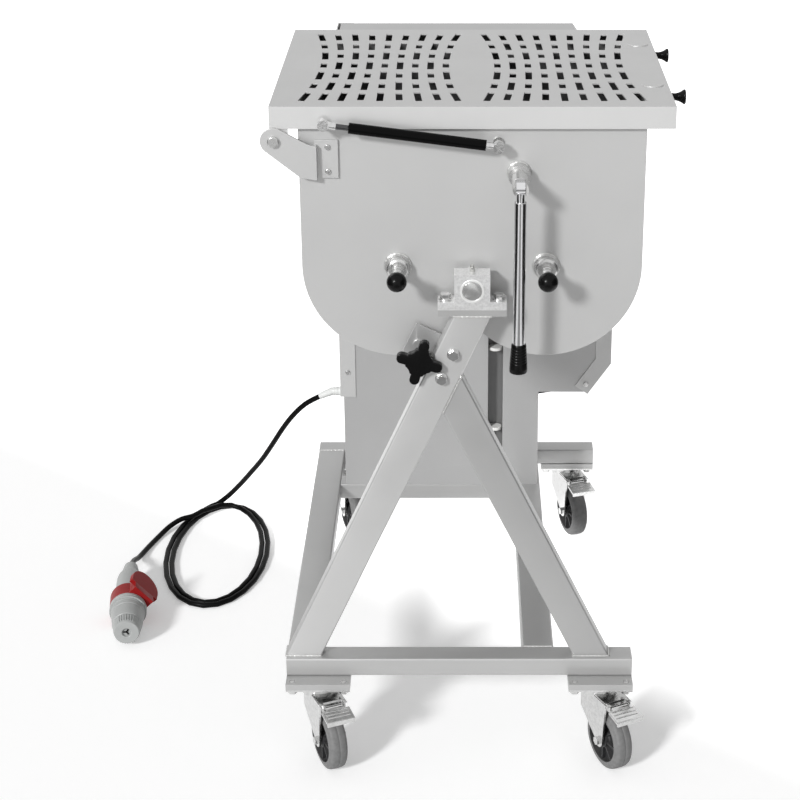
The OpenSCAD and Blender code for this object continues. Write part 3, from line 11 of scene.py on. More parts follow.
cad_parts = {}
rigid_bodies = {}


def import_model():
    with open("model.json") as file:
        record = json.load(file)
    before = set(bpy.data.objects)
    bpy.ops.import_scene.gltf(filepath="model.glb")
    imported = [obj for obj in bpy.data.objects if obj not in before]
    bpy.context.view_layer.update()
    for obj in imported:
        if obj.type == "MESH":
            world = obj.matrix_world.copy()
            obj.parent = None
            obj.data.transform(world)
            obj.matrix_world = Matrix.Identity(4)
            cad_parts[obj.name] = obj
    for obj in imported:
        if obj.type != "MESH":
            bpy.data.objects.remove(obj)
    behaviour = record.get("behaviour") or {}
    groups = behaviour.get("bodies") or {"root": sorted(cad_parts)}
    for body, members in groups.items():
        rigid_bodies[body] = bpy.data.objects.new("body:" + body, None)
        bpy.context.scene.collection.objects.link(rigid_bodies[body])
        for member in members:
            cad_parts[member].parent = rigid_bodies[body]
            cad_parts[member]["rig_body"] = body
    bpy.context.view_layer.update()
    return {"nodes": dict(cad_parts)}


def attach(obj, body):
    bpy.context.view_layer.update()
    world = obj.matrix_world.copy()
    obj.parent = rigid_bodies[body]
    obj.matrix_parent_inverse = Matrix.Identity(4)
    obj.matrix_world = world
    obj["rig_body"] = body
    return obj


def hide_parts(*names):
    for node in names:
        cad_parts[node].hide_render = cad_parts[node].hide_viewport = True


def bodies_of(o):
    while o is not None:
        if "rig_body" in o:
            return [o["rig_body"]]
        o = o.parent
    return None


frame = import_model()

bl_info = {
    "name": "Meat mixer",
    "version": (1, 0, 0),
    "blender": (4, 5, 0),
    "location": "View3D > Sidebar > Mixer",
    "description": "Builds the visible pieces of a tilting meat mixer on its packed solids",
    "category": "Object",
}

# The solids are drawn with X = 0 on the tilt axis and Y = 0 on the front crossbar's face
MIDDLE = Vector((6.25, 391.01557390896215, 0))
# Where each caster swivels, and its turn in degrees
CASTERS = {
    "front_left": (-239, 15, 24),
    "front_right": (201, 15, 27),
    "rear_left": (-239, 822.5, 20),
    "rear_right": (189, 822.5, 19),
}
TILT_Z = 786
SHAFT_X = 108
SHAFT_Z = 809
SHAFT_R = 15
TANK_Y = 55
LID_TOP = 1049
CATCH_Z = 1031
CATCH_Y = {"front_catch": 171, "rear_catch": 432}
HANDLE_X = 67
HANDLE_Z = 950
PIN_FACE = 48.7
BALL_OUT = 63.7
BALL_R = 14.5
TRAIL = 38
PEDAL_Y = 61
PEDAL_Z = 116.7
PEDAL_SLOPE = 0.2
# The cord's middle line goes no farther back, so that it stays inside the solids' box
CORD_REACH = 893.8


def at(x, y, z):
    """Point of the machine, given in millimetres from the tilt axis and the front crossbar."""
    return (Vector((x, y, z)) - MIDDLE) / 1000


class MixerSizes(PropertyGroup):
    cord_diameter: FloatProperty(
        name="Cord diameter",
        description="Outside diameter of the power cord",
        default=0.010,
        min=0.008,
        max=0.010,
        unit="LENGTH",
    )
    tube_radius: FloatProperty(
        name="Tube corner radius",
        description="Outer corner radius of the frame's square tubes",
        default=0.003,
        min=0.001,
        max=0.006,
        unit="LENGTH",
    )
    tube_wall: FloatProperty(
        name="Tube wall",
        description="Wall of the frame's square tubes, seen at their ends",
        default=0.002,
        min=0.001,
        max=0.004,
        unit="LENGTH",
    )
    bead_radius: FloatProperty(
        name="Weld bead radius",
        description="Radius of the weld beads at the legs and plates",
        default=0.0017,
        min=0.0008,
        max=0.003,
        unit="LENGTH",
    )
    turning_steps: IntProperty(
        name="Turning steps",
        description="Faces round a turned piece",
        default=56,
        min=24,
        max=96,
    )


class MixerFinish(PropertyGroup):
    steel: FloatVectorProperty(
        name="Satin steel",
        description="Colour of the bead-blasted sheet and tubes",
        subtype="COLOR",
        default=(0.55, 0.55, 0.547),
        min=0,
        max=1,
    )
    # Painted shade: darker than the satin steel, standing for the tank's shade and dark reflection
    # on the cabinet
    cabinet: FloatVectorProperty(
        name="Cabinet sheet",
        description="Colour of the drive cabinet's sheet",
        subtype="COLOR",
        default=(0.44, 0.44, 0.44),
        min=0,
        max=1,
    )
    aluminium: FloatVectorProperty(
        name="Milled aluminium",
        description="Colour of the bearing blocks",
        subtype="COLOR",
        default=(0.74, 0.74, 0.738),
        min=0,
        max=1,
    )
    zinc: FloatVectorProperty(
        name="Bright zinc",
        description="Colour of the casters and bolts",
        subtype="COLOR",
        default=(0.64, 0.64, 0.637),
        min=0,
        max=1,
    )
    plastic: FloatVectorProperty(
        name="Black plastic",
        description="Colour of the knobs and grips",
        subtype="COLOR",
        default=(0.004, 0.004, 0.004),
        min=0,
        max=1,
    )
    rubber: FloatVectorProperty(
        name="Cord rubber",
        description="Colour of the cord's jacket",
        subtype="COLOR",
        default=(0.004, 0.004, 0.004),
        min=0,
        max=1,
    )
    tyre: FloatVectorProperty(
        name="Tyres",
        description="Colour of the casters' rubber tyres",
        subtype="COLOR",
        default=(0.17, 0.17, 0.17),
        min=0,
        max=1,
    )
    plug: FloatVectorProperty(
        name="Plug grey",
        description="Colour of the plug's moulded body",
        subtype="COLOR",
        default=(0.38, 0.39, 0.385),
        min=0,
        max=1,
    )
    connector: FloatVectorProperty(
        name="Connector red",
        description="Colour of the connector's collar and flap",
        subtype="COLOR",
        default=(0.27, 0.012, 0.012),
        min=0,
        max=1,
    )


def sizes():
    return bpy.context.scene.mixer_sizes


def colours():
    return bpy.context.scene.mixer_finish


# Shared surface effects


def effect(name, inputs, outputs):
    """Makes a shader node group with named sockets."""
    tree = bpy.data.node_groups.new(name, "ShaderNodeTree")
    for kind, label, value in inputs:
        socket = tree.interface.new_socket(name=label, in_out="INPUT", socket_type=kind)
        if value is not None:
            socket.default_value = value
    for kind, label in outputs:
        tree.interface.new_socket(name=label, in_out="OUTPUT", socket_type=kind)
    enter = tree.nodes.new("NodeGroupInput")
    leave = tree.nodes.new("NodeGroupOutput")
    enter.location, leave.location = (-700, 0), (500, 0)
    return tree, enter, leave


def math_node(tree, operation, a, b=None, clamp=False):
    node = tree.nodes.new("ShaderNodeMath")
    node.operation = operation
    node.use_clamp = clamp
    for socket, value in zip(node.inputs, (a, b)):
        if value is None:
            continue
        if isinstance(value, (int, float)):
            socket.default_value = value
        else:
            tree.links.new(value, socket)
    return node.outputs[0]


def noise_node(tree, vector, scale, detail=3.0, roughness=0.55):
    node = tree.nodes.new("ShaderNodeTexNoise")
    node.inputs["Detail"].default_value = detail
    node.inputs["Roughness"].default_value = roughness
    tree.links.new(vector, node.inputs["Vector"])
    if isinstance(scale, (int, float)):
        node.inputs["Scale"].default_value = scale
    else:
        tree.links.new(scale, node.inputs["Scale"])
    return node.outputs["Fac"]


def clouded_tone():
    """Colour that drifts softly lighter and darker over a piece, as handled sheet does."""
    name = "Clouded tone"
    if name in bpy.data.node_groups:
        return bpy.data.node_groups[name]
    tree, enter, leave = effect(
        name,
        [
            ("NodeSocketVector", "Coordinates", None),
            ("NodeSocketColor", "Tone", (0.5, 0.5, 0.5, 1)),
            ("NodeSocketFloat", "Scale", 9.0),
            ("NodeSocketFloat", "Spread", 0.08),
        ],
        [("NodeSocketColor", "Color"), ("NodeSocketFloat", "Cloud")],
    )
    cloud = noise_node(tree, enter.outputs["Coordinates"], enter.outputs["Scale"], 5, 0.6)
    centred = math_node(tree, "SUBTRACT", cloud, 0.5)
    wide = math_node(tree, "MULTIPLY", centred, enter.outputs["Spread"])
    gain = math_node(tree, "ADD", math_node(tree, "MULTIPLY", wide, 2.0), 1.0)
    scale = tree.nodes.new("ShaderNodeVectorMath")
    scale.operation = "SCALE"
    tree.links.new(enter.outputs["Tone"], scale.inputs[0])
    tree.links.new(gain, scale.inputs["Scale"])
    tree.links.new(scale.outputs[0], leave.inputs["Color"])
    tree.links.new(cloud, leave.inputs["Cloud"])
    return tree


def fine_grain():
    """Blasted, milled or drawn grain: stretched fine noise for bump and gloss."""
    name = "Fine grain"
    if name in bpy.data.node_groups:
        return bpy.data.node_groups[name]
    tree, enter, leave = effect(
        name,
        [
            ("NodeSocketVector", "Coordinates", None),
            ("NodeSocketVector", "Stretch", (1, 1, 1)),
            ("NodeSocketFloat", "Scale", 900.0),
            ("NodeSocketFloat", "Gloss", 0.4),
            ("NodeSocketFloat", "Gloss spread", 0.1),
        ],
        [("NodeSocketFloat", "Height"), ("NodeSocketFloat", "Roughness")],
    )
    stretch = tree.nodes.new("ShaderNodeVectorMath")
    stretch.operation = "MULTIPLY"
    tree.links.new(enter.outputs["Coordinates"], stretch.inputs[0])
    tree.links.new(enter.outputs["Stretch"], stretch.inputs[1])
    grain = noise_node(tree, stretch.outputs[0], enter.outputs["Scale"], 2, 0.6)
    patch = noise_node(tree, enter.outputs["Coordinates"], 14.0, 4, 0.65)
    fine = math_node(tree, "MULTIPLY", grain, 0.45)
    both = math_node(tree, "ADD", fine, math_node(tree, "MULTIPLY", patch, 0.55))
    centred = math_node(tree, "SUBTRACT", both, 0.5)
    spread = math_node(tree, "MULTIPLY", centred, enter.outputs["Gloss spread"])
    rough = math_node(
        tree, "ADD", enter.outputs["Gloss"], math_node(tree, "MULTIPLY", spread, 2.0), clamp=True
    )
    tree.links.new(grain, leave.inputs["Height"])
    tree.links.new(rough, leave.inputs["Roughness"])
    return tree


def worn_edges():
    """Mask that is up to 1 along rubbed edges and 0 on flat faces."""
    name = "Worn edges"
    if name in bpy.data.node_groups:
        return bpy.data.node_groups[name]
    tree, enter, leave = effect(
        name,
        [("NodeSocketVector", "Coordinates", None), ("NodeSocketFloat", "Amount", 0.5)],
        [("NodeSocketFloat", "Mask")],
    )
    shape = tree.nodes.new("ShaderNodeNewGeometry")
    rounded = tree.nodes.new("ShaderNodeBevel")
    rounded.samples = 4
    rounded.inputs["Radius"].default_value = 0.0009
    turn = tree.nodes.new("ShaderNodeVectorMath")
    turn.operation = "DOT_PRODUCT"
    tree.links.new(shape.outputs["Normal"], turn.inputs[0])
    tree.links.new(rounded.outputs["Normal"], turn.inputs[1])
    steep = tree.nodes.new("ShaderNodeMapRange")
    steep.inputs["From Min"].default_value = 0.995
    steep.inputs["From Max"].default_value = 0.93
    tree.links.new(turn.outputs["Value"], steep.inputs["Value"])
    broken = noise_node(tree, enter.outputs["Coordinates"], 160.0, 3, 0.6)
    ragged = math_node(tree, "MULTIPLY", steep.outputs[0], math_node(tree, "MULTIPLY", broken, 2.0))
    mask = math_node(tree, "MULTIPLY", ragged, enter.outputs["Amount"], clamp=True)
    tree.links.new(mask, leave.inputs["Mask"])
    return tree


def settled_dust():
    """Mask of thin dust on the faces that look up."""
    name = "Settled dust"
    if name in bpy.data.node_groups:
        return bpy.data.node_groups[name]
    tree, enter, leave = effect(
        name,
        [("NodeSocketVector", "Coordinates", None), ("NodeSocketFloat", "Amount", 0.2)],
        [("NodeSocketFloat", "Mask")],
    )
    shape = tree.nodes.new("ShaderNodeNewGeometry")
    split = tree.nodes.new("ShaderNodeSeparateXYZ")
    tree.links.new(shape.outputs["Normal"], split.inputs[0])
    upward = math_node(tree, "POWER", math_node(tree, "MAXIMUM", split.outputs["Z"], 0.0), 2.0)
    patch = noise_node(tree, enter.outputs["Coordinates"], 60.0, 4, 0.7)
    lay = math_node(tree, "MULTIPLY", upward, patch)
    mask = math_node(tree, "MULTIPLY", lay, enter.outputs["Amount"], clamp=True)
    tree.links.new(mask, leave.inputs["Mask"])
    return tree


def place_group(material, group, **values):
    node = material.node_tree.nodes.new("ShaderNodeGroup")
    node.node_tree = group
    for label, value in values.items():
        node.inputs[label.replace("_", " ")].default_value = value
    return node


def surface(
    name,
    tone,
    metallic=0.0,
    gloss=0.4,
    gloss_spread=0.08,
    spread=0.06,
    cloud=9.0,
    grain=900.0,
    stretch=(1, 1, 1),
    depth=0.05,
    wear=0.0,
    wear_tone=(0.8, 0.8, 0.8),
    dust=0.0,
    dust_tone=(0.42, 0.41, 0.40),
    specular=0.5,
):
    """Builds one finish from the shared effects."""
    material = bpy.data.materials.new(name)
    material.use_nodes = True
    tree = material.node_tree
    shader = tree.nodes["Principled BSDF"]
    shader.inputs["Metallic"].default_value = metallic
    shader.inputs["Specular IOR Level"].default_value = specular
    coordinates = tree.nodes.new("ShaderNodeTexCoord").outputs["Object"]
    tint = place_group(
        material, clouded_tone(), Tone=(*tone, 1), Scale=cloud, Spread=spread
    )
    texture = place_group(
        material, fine_grain(), Stretch=stretch, Scale=grain, Gloss=gloss, Gloss_spread=gloss_spread
    )
    for node in (tint, texture):
        tree.links.new(coordinates, node.inputs["Coordinates"])
    colour = tint.outputs["Color"]
    for amount, group, over in ((wear, worn_edges, wear_tone), (dust, settled_dust, dust_tone)):
        if amount == 0:
            continue
        mask = place_group(material, group(), Amount=amount)
        tree.links.new(coordinates, mask.inputs["Coordinates"])
        blend = tree.nodes.new("ShaderNodeMix")
        blend.data_type = "RGBA"
        blend.inputs["B"].default_value = (*over, 1)
        tree.links.new(mask.outputs["Mask"], blend.inputs["Factor"])
        tree.links.new(colour, blend.inputs["A"])
        colour = blend.outputs["Result"]
    tree.links.new(colour, shader.inputs["Base Color"])
    tree.links.new(texture.outputs["Roughness"], shader.inputs["Roughness"])
    bump = tree.nodes.new("ShaderNodeBump")
    bump.inputs["Strength"].default_value = depth
    bump.inputs["Distance"].default_value = 0.0004
    tree.links.new(texture.outputs["Height"], bump.inputs["Height"])
    tree.links.new(bump.outputs["Normal"], shader.inputs["Normal"])
    return material


def finish(name):
    """The finish of that name, built at its first use."""
    title = "Finish " + name
    if title in bpy.data.materials:
        return bpy.data.materials[title]
    c = colours()
    steel = tuple(c.steel)

    def grey(value):
        return (value, value, value)

    # Steel's tone times a share: below it gives painted shade on the tubes, the brace and the lid's
    # top, and painted light on the lid's skirt
    def shade(share):
        return tuple(share * v for v in steel)

    sheet = dict(metallic=0.5, gloss=0.42, gloss_spread=0.12, grain=1100, depth=0.10)
    cover = dict(sheet, spread=0.05, cloud=6, wear=0.4)
    tube = dict(
        metallic=0.55, gloss=0.38, gloss_spread=0.12, spread=0.06, cloud=8, grain=1000,
        depth=0.14, wear=0.35,
    )
    leg = dict(
        metallic=0.5, gloss=0.40, gloss_spread=0.12, cloud=7, grain=1000, stretch=(1, 1, 0.06),
        depth=0.12, wear=0.35,
    )
    recipes = {
        "satin_sheet": dict(
            sheet, tone=steel, gloss=0.44, gloss_spread=0.10, spread=0.035, cloud=5, wear=0.3
        ),
        # Painted shade: the tank's inside and the lid's underside are toned darker than the same
        # steel outside
        "tank_inside_painted_shade": dict(
            sheet, tone=grey(0.16), gloss=0.44, gloss_spread=0.10, spread=0.05, cloud=5
        ),
        # Painted shade: the tubes along X and Y are toned darker than the legs, standing for the
        # dark tank and cabinet that they reflect
        "satin_along_x_painted_shade": dict(tube, tone=shade(0.86), stretch=(0.06, 1, 1)),
        "satin_along_y_painted_shade": dict(tube, tone=shade(0.78), stretch=(1, 0.06, 1)),
        "satin_along_z": dict(leg, tone=steel, spread=0.04),
        # Painted shade: the brace leg is toned darker than the long leg of the same steel
        "brace_painted_shade": dict(leg, tone=shade(0.76), spread=0.06),
        # Painted shade and painted light: the lid's top is toned darker and its upright skirt
        # lighter than the same steel
        "lid_top": dict(cover, tone=shade(0.92)),
        "lid_skirt_painted_light": dict(cover, tone=shade(1.2)),
        "weld_steel": dict(
            tone=(0.58, 0.58, 0.57), metallic=0.8, gloss=0.34, spread=0.2, cloud=180,
            grain=420, depth=0.6,
        ),
        # Painted shade: the cabinet's sheet is toned darker than the steel
        "cabinet_sheet": dict(sheet, tone=tuple(c.cabinet), spread=0.04, cloud=4, wear=0.3),
        # Painted shade: the cabinet's recessed channel is toned dark
        "channel_painted_shade": dict(sheet, tone=grey(0.20), spread=0.06, cloud=20),
        "milled_aluminium": dict(
            tone=tuple(c.aluminium), metallic=0.6, gloss=0.34, gloss_spread=0.2, spread=0.34,
            cloud=330, grain=190, stretch=(0.18, 1, 1), depth=1.0, wear=0.9,
            wear_tone=(0.9, 0.9, 0.9),
        ),
        "bush_bronze": dict(
            tone=(0.88, 0.88, 0.87), metallic=0.6, gloss=0.36, spread=0.05, cloud=80, grain=900,
            depth=0.08,
        ),
        "bright_zinc": dict(
            tone=tuple(c.zinc), metallic=1, gloss=0.17, gloss_spread=0.16, spread=0.3, cloud=150,
            grain=420, depth=0.3, wear=0.5,
        ),
        "chrome": dict(
            tone=(0.72, 0.72, 0.73), metallic=1, gloss=0.13, gloss_spread=0.06, spread=0.04,
            cloud=30, grain=700, depth=0.03,
        ),
        "turned_steel": dict(
            tone=(0.58, 0.58, 0.575), metallic=0.9, gloss=0.26, gloss_spread=0.10, spread=0.08,
            cloud=60, grain=1500, stretch=(0.2, 1, 0.2), depth=0.12, wear=0.3,
        ),
        "black_plastic": dict(
            tone=tuple(c.plastic), gloss=0.24, gloss_spread=0.10, spread=0.2, cloud=40,
            grain=1400, depth=0.08, wear=0.1, wear_tone=(0.02, 0.02, 0.02), specular=0.12,
        ),
        "strut_black": dict(
            tone=(0.003, 0.003, 0.003), gloss=0.20, gloss_spread=0.06, spread=0.15, cloud=30,
            grain=900, depth=0.05, specular=0.05,
        ),
        "cord_rubber": dict(
            tone=tuple(c.rubber), gloss=0.32, gloss_spread=0.14, spread=0.25, cloud=50,
            grain=1300, depth=0.18, specular=0.06,
        ),
        "tyre_rubber": dict(
            tone=tuple(c.tyre), gloss=0.62, gloss_spread=0.12, spread=0.35, cloud=130,
            grain=900, depth=0.5, wear=0.2, wear_tone=(0.30, 0.30, 0.29), dust=0.2,
        ),
        "wheel_core": dict(
            tone=(0.028, 0.028, 0.029), gloss=0.5, spread=0.2, cloud=60, grain=900, depth=0.2,
            dust=0.15, specular=0.3,
        ),
        "white_plastic": dict(
            tone=(0.80, 0.80, 0.78), gloss=0.42, spread=0.05, cloud=60, grain=1000, depth=0.08,
            dust=0.1,
        ),
        "gland_grey": dict(
            tone=(0.66, 0.67, 0.66), gloss=0.4, spread=0.05, cloud=60, grain=1000, depth=0.08,
            dust=0.1,
        ),
        "plug_grey": dict(
            tone=tuple(c.plug), gloss=0.40, gloss_spread=0.12, spread=0.08, cloud=40, grain=1200,
            depth=0.14, wear=0.15, wear_tone=(0.45, 0.46, 0.46), dust=0.08, specular=0.4,
        ),
        "connector_red": dict(
            tone=tuple(c.connector), gloss=0.36, gloss_spread=0.12, spread=0.16, cloud=40,
            grain=1200, depth=0.14, wear=0.15, wear_tone=(0.36, 0.04, 0.04), specular=0.1,
        ),
        "shadow_black": dict(
            tone=(0.008, 0.008, 0.008), gloss=0.6, spread=0.2, cloud=40, grain=900, depth=0.1,
            specular=0.1,
        ),
        "rod_dark": dict(
            tone=(0.09, 0.09, 0.092), metallic=1, gloss=0.16, gloss_spread=0.06, spread=0.1,
            cloud=60, grain=900, depth=0.05,
        ),
        "nipple_brass": dict(
            tone=(0.66, 0.66, 0.64), metallic=1, gloss=0.24, spread=0.1, cloud=90, grain=900,
            depth=0.08,
        ),
        "motor_grey": dict(
            tone=(0.13, 0.16, 0.18), gloss=0.42, spread=0.1, cloud=30, grain=400, depth=0.25,
            wear=0.4, wear_tone=(0.4, 0.42, 0.44), dust=0.3,
        ),
        "gear_steel": dict(
            tone=(0.36, 0.35, 0.34), metallic=1, gloss=0.34, spread=0.12, cloud=60, grain=900,
            depth=0.15, wear=0.5,
        ),
        "start_green": dict(
            tone=(0.02, 0.26, 0.07), gloss=0.3, spread=0.08, cloud=60, grain=1000, depth=0.06,
        ),
        "stop_red": dict(
            tone=(0.52, 0.015, 0.012), gloss=0.3, spread=0.08, cloud=60, grain=1000, depth=0.06,
        ),
    }
    return surface(title, **recipes[name])


# Hand tools of the workshop


def rest():
    if bpy.context.object and bpy.context.object.mode != "OBJECT":
        bpy.ops.object.mode_set(mode="OBJECT")
    bpy.ops.object.select_all(action="DESELECT")


def take(piece):
    rest()
    piece.select_set(True)
    bpy.context.view_layer.objects.active = piece


def open_mesh(piece, kind="FACE"):
    """Opens a piece in edit mode with nothing selected and returns its mesh."""
    take(piece)
    bpy.ops.object.mode_set(mode="EDIT")
    bpy.ops.mesh.select_mode(type=kind)
    bpy.ops.mesh.select_all(action="DESELECT")
    return bmesh.from_edit_mesh(piece.data)


def close_mesh(piece):
    bmesh.update_edit_mesh(piece.data)
    bpy.ops.object.mode_set(mode="OBJECT")


def pick(piece, faces=None, edges=None, verts=None):
    """Selects by a test, with the piece open in edit mode, and says how many were found."""
    mesh = bmesh.from_edit_mesh(piece.data)
    for item in (*mesh.faces, *mesh.edges, *mesh.verts):
        item.select = False
    found = 0
    for items, test in ((mesh.verts, verts), (mesh.edges, edges), (mesh.faces, faces)):
        if test is None:
            continue
        for item in items:
            if test(item):
                item.select_set(True)
                found += 1
    bmesh.update_edit_mesh(piece.data)
    return found


def soften(piece, width, segments=2, angle=32, smooth=38):
    """Rounds every edge sharper than the angle, then shades the piece smooth up to its folds."""
    take(piece)
    bpy.ops.object.shade_smooth_by_angle(angle=math.radians(smooth))
    if width:
        bpy.ops.object.modifier_add(type="BEVEL")
        edge = piece.modifiers[-1]
        edge.width = width / 1000
        edge.segments = segments
        edge.limit_method = "ANGLE"
        edge.angle_limit = math.radians(angle)
        edge.use_clamp_overlap = True
        edge.loop_slide = False
        edge.harden_normals = True
        bpy.ops.object.modifier_apply(modifier=edge.name)
    return piece


def settle(piece):
    """Puts a piece's place, turn and size into its mesh."""
    take(piece)
    bpy.ops.object.transform_apply(location=True, rotation=True, scale=True)
    return piece


def put(piece, place, along=(0, 0, 1), turn=0.0):
    """Stands a piece that was made round Z on a place, its Z pointing along a direction."""
    way = Vector(along).to_track_quat("Z", "Y").to_matrix().to_4x4()
    piece.matrix_world = Matrix.Translation(place) @ way @ Matrix.Rotation(turn, 4, "Z")
    return settle(piece)


def again(piece, name):
    """A copy of a finished piece with its own mesh."""
    copy = bpy.data.objects.new(name, piece.data.copy())
    bpy.context.collection.objects.link(copy)
    copy.data.name = name
    return copy


def join(name, pieces):
    take(pieces[0])
    for piece in pieces[1:]:
        piece.select_set(True)
    bpy.ops.object.join()
    pieces[0].name = name
    pieces[0].data.name = name
    return pieces[0]


def turned(name, profile, steps=None):
    """Spins a profile of (radius, height) points in millimetres round Z."""
    rest()
    bpy.ops.mesh.primitive_plane_add(size=0.001)
    piece = bpy.context.object
    piece.name = name
    piece.data.name = name
    bpy.ops.object.mode_set(mode="EDIT")
    bpy.ops.mesh.select_mode(type="VERT")
    bpy.ops.mesh.select_all(action="SELECT")
    bpy.ops.mesh.merge(type="CENTER")
    radius, height = profile[0]
    bpy.ops.transform.translate(value=(radius / 1000, 0, height / 1000))
    for (a, b), (c, d) in zip(profile, profile[1:]):
        step = ((c - a) / 1000, 0, (d - b) / 1000)
        bpy.ops.mesh.extrude_vertices_move(TRANSFORM_OT_translate={"value": step})
    bpy.ops.mesh.select_all(action="SELECT")
    bpy.ops.mesh.spin(
        steps=steps or sizes().turning_steps, angle=2 * math.pi, center=(0, 0, 0), axis=(0, 0, 1)
    )
    bpy.ops.mesh.select_all(action="SELECT")
    bpy.ops.mesh.remove_doubles(threshold=0.000002)
    bpy.ops.mesh.normals_make_consistent(inside=False)
    bpy.ops.object.mode_set(mode="OBJECT")
    return piece


def block(name, low, high):
    """A block between two corners, already in place."""
    rest()
    low, high = Vector(low), Vector(high)
    bpy.ops.mesh.primitive_cube_add(size=1, location=(low + high) / 2)
    piece = bpy.context.object
    piece.name = name
    piece.data.name = name
    piece.scale = high - low
    return settle(piece)


def from_solid(node, name):
    """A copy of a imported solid, merged and with its flat faces made whole."""
    piece = again(frame["nodes"][node], name)
    open_mesh(piece, "VERT")
    bpy.ops.mesh.select_all(action="SELECT")
    bpy.ops.mesh.remove_doubles(threshold=0.000008)
    bpy.ops.mesh.dissolve_limited(angle_limit=math.radians(0.4))
    close_mesh(piece)
    return piece


def body_of(node):
    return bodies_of(frame["nodes"][node])[0]


def finished(piece, body, look, slot, *nodes):
    """Gives a piece its finish, its body and the solids that it stands for."""
    if look is not None:
        piece.data.materials.clear()
        piece.data.materials.append(finish(look))
    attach(piece, body)
    if nodes:
        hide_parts(*nodes)
    return piece


def refine(node, name, look, slot, width, segments=2):
    """Rounds a solid's edges as the real piece's are and gives it its finish."""
    piece = from_solid(node, name)
    soften(piece, width, segments)
    return finished(piece, body_of(node), look, slot, node)


def paint(piece, look, test):
    """Gives the faces of a piece that pass a test a finish of their own."""
    piece.data.materials.append(finish(look))
    open_mesh(piece)
    pick(piece, faces=test)
    piece.active_material_index = len(piece.data.materials) - 1
    bpy.ops.object.material_slot_assign()
    close_mesh(piece)


def swept(name, points, radii, sides):
    """A round bar through points, with a radius at each, made a mesh."""
    line = bpy.data.curves.new(name, "CURVE")
    line.dimensions = "3D"
    line.bevel_depth = 1.0
    line.bevel_resolution = sides
    line.use_fill_caps = True
    spline = line.splines.new("POLY")
    spline.points.add(len(points) - 1)
    for knot, place, radius in zip(spline.points, points, radii):
        knot.co = (*place, 1)
        knot.radius = radius
    piece = bpy.data.objects.new(name, line)
    bpy.context.collection.objects.link(piece)
    take(piece)
    bpy.ops.object.convert(target="MESH")
    return bpy.context.object


def bead(name, corners, closed=True):
    """A weld bead along corners, rippled by its uneven radius."""
    corners = [Vector(c) for c in corners]
    if closed:
        corners.append(corners[0])
    points = []
    for a, b in zip(corners, corners[1:]):
        count = max(2, int((b - a).length / 0.0022))
        points += [a.lerp(b, i / count) for i in range(count)]
    points.append(corners[-1])
    base = sizes().bead_radius
    radii = [
        base * (1.0 + 0.16 * math.sin(2.1 * i) + 0.06 * math.sin(5.7 * i))
        for i in range(len(points))
    ]
    piece = swept(name, points, radii, 2)
    take(piece)
    bpy.ops.object.shade_smooth()
    return piece


# Cord


def blend(a, b, c, d, t):
    return (
        2 * b
        + (c - a) * t
        + (2 * a - 5 * b + 4 * c - d) * t * t
        + (3 * b - a - 3 * c + d) * t * t * t
    ) / 2


def smooth_line(points, count):
    line = []
    last = len(points) - 1
    for i in range(last):
        a, d = points[max(i - 1, 0)], points[min(i + 2, last)]
        line += [blend(a, points[i], points[i + 1], d, k / count) for k in range(count)]
    return line + [points[-1]]


GLAND = Vector((-246, 722, 328))
LEAD = [
    (-280, 726, 316), (-309, 735, 296), (-335, 748, 266), (-357, 765, 231), (-379, 786, 190),
    (-403, 812, 146), (-430, 842, 103), (-456, 868, 64), (-482, 886, 31), (-505, 890, 11),
]
TAIL = [
    (-547, 824, 16), (-568, 812, 15), (-588, 791, 10), (-604, 760, 5), (-619, 712, 5),
    (-629, 664, 9), (-632, 626, 22),
]
PLUG_START = Vector((-630, 578, 33))
PLUG_TURN = math.radians(7)
PLUG_WAY = Vector((math.sin(PLUG_TURN), -math.cos(PLUG_TURN), 0))
LOOPS = 2


def loop_point(q):
    angle = math.radians(117 + 360 * q)
    up = max(0.0, (360 * (q - LOOPS) + 80) / 80)
    return Vector((
        -480.5 + (100.5 - 11.5 * q) * math.cos(angle),
        690 + (212 - 11.5 * q) * math.sin(angle),
        5 + 11 * up * up * (3 - 2 * up),
    ))


def cord_line(rings=24, count=4):
    """The cord's middle line, from the gland round the two loops to the plug."""
    loops = [loop_point(i / rings) for i in range(LOOPS * rings + 1)]
    enter = (loops[1] - loops[0]).normalized()
    leave = (loops[-1] - loops[-2]).normalized()
    first, last = loops[0] - 10 * enter, loops[-1] + 10 * leave
    lead = [GLAND, *smooth_line(
        [GLAND - Vector((10, 0, 0)), *map(Vector, LEAD), first - 10 * enter], count), first]
    tail = [last, *smooth_line(
        [last + 10 * leave, *map(Vector, TAIL), PLUG_START - 10 * PLUG_WAY], count), PLUG_START]
    line = lead[:-1] + [first] + loops + tail
    line = [Vector((p.x, min(p.y, CORD_REACH), p.z)) for p in line]
    return [(p - MIDDLE) / 1000 for p in line]


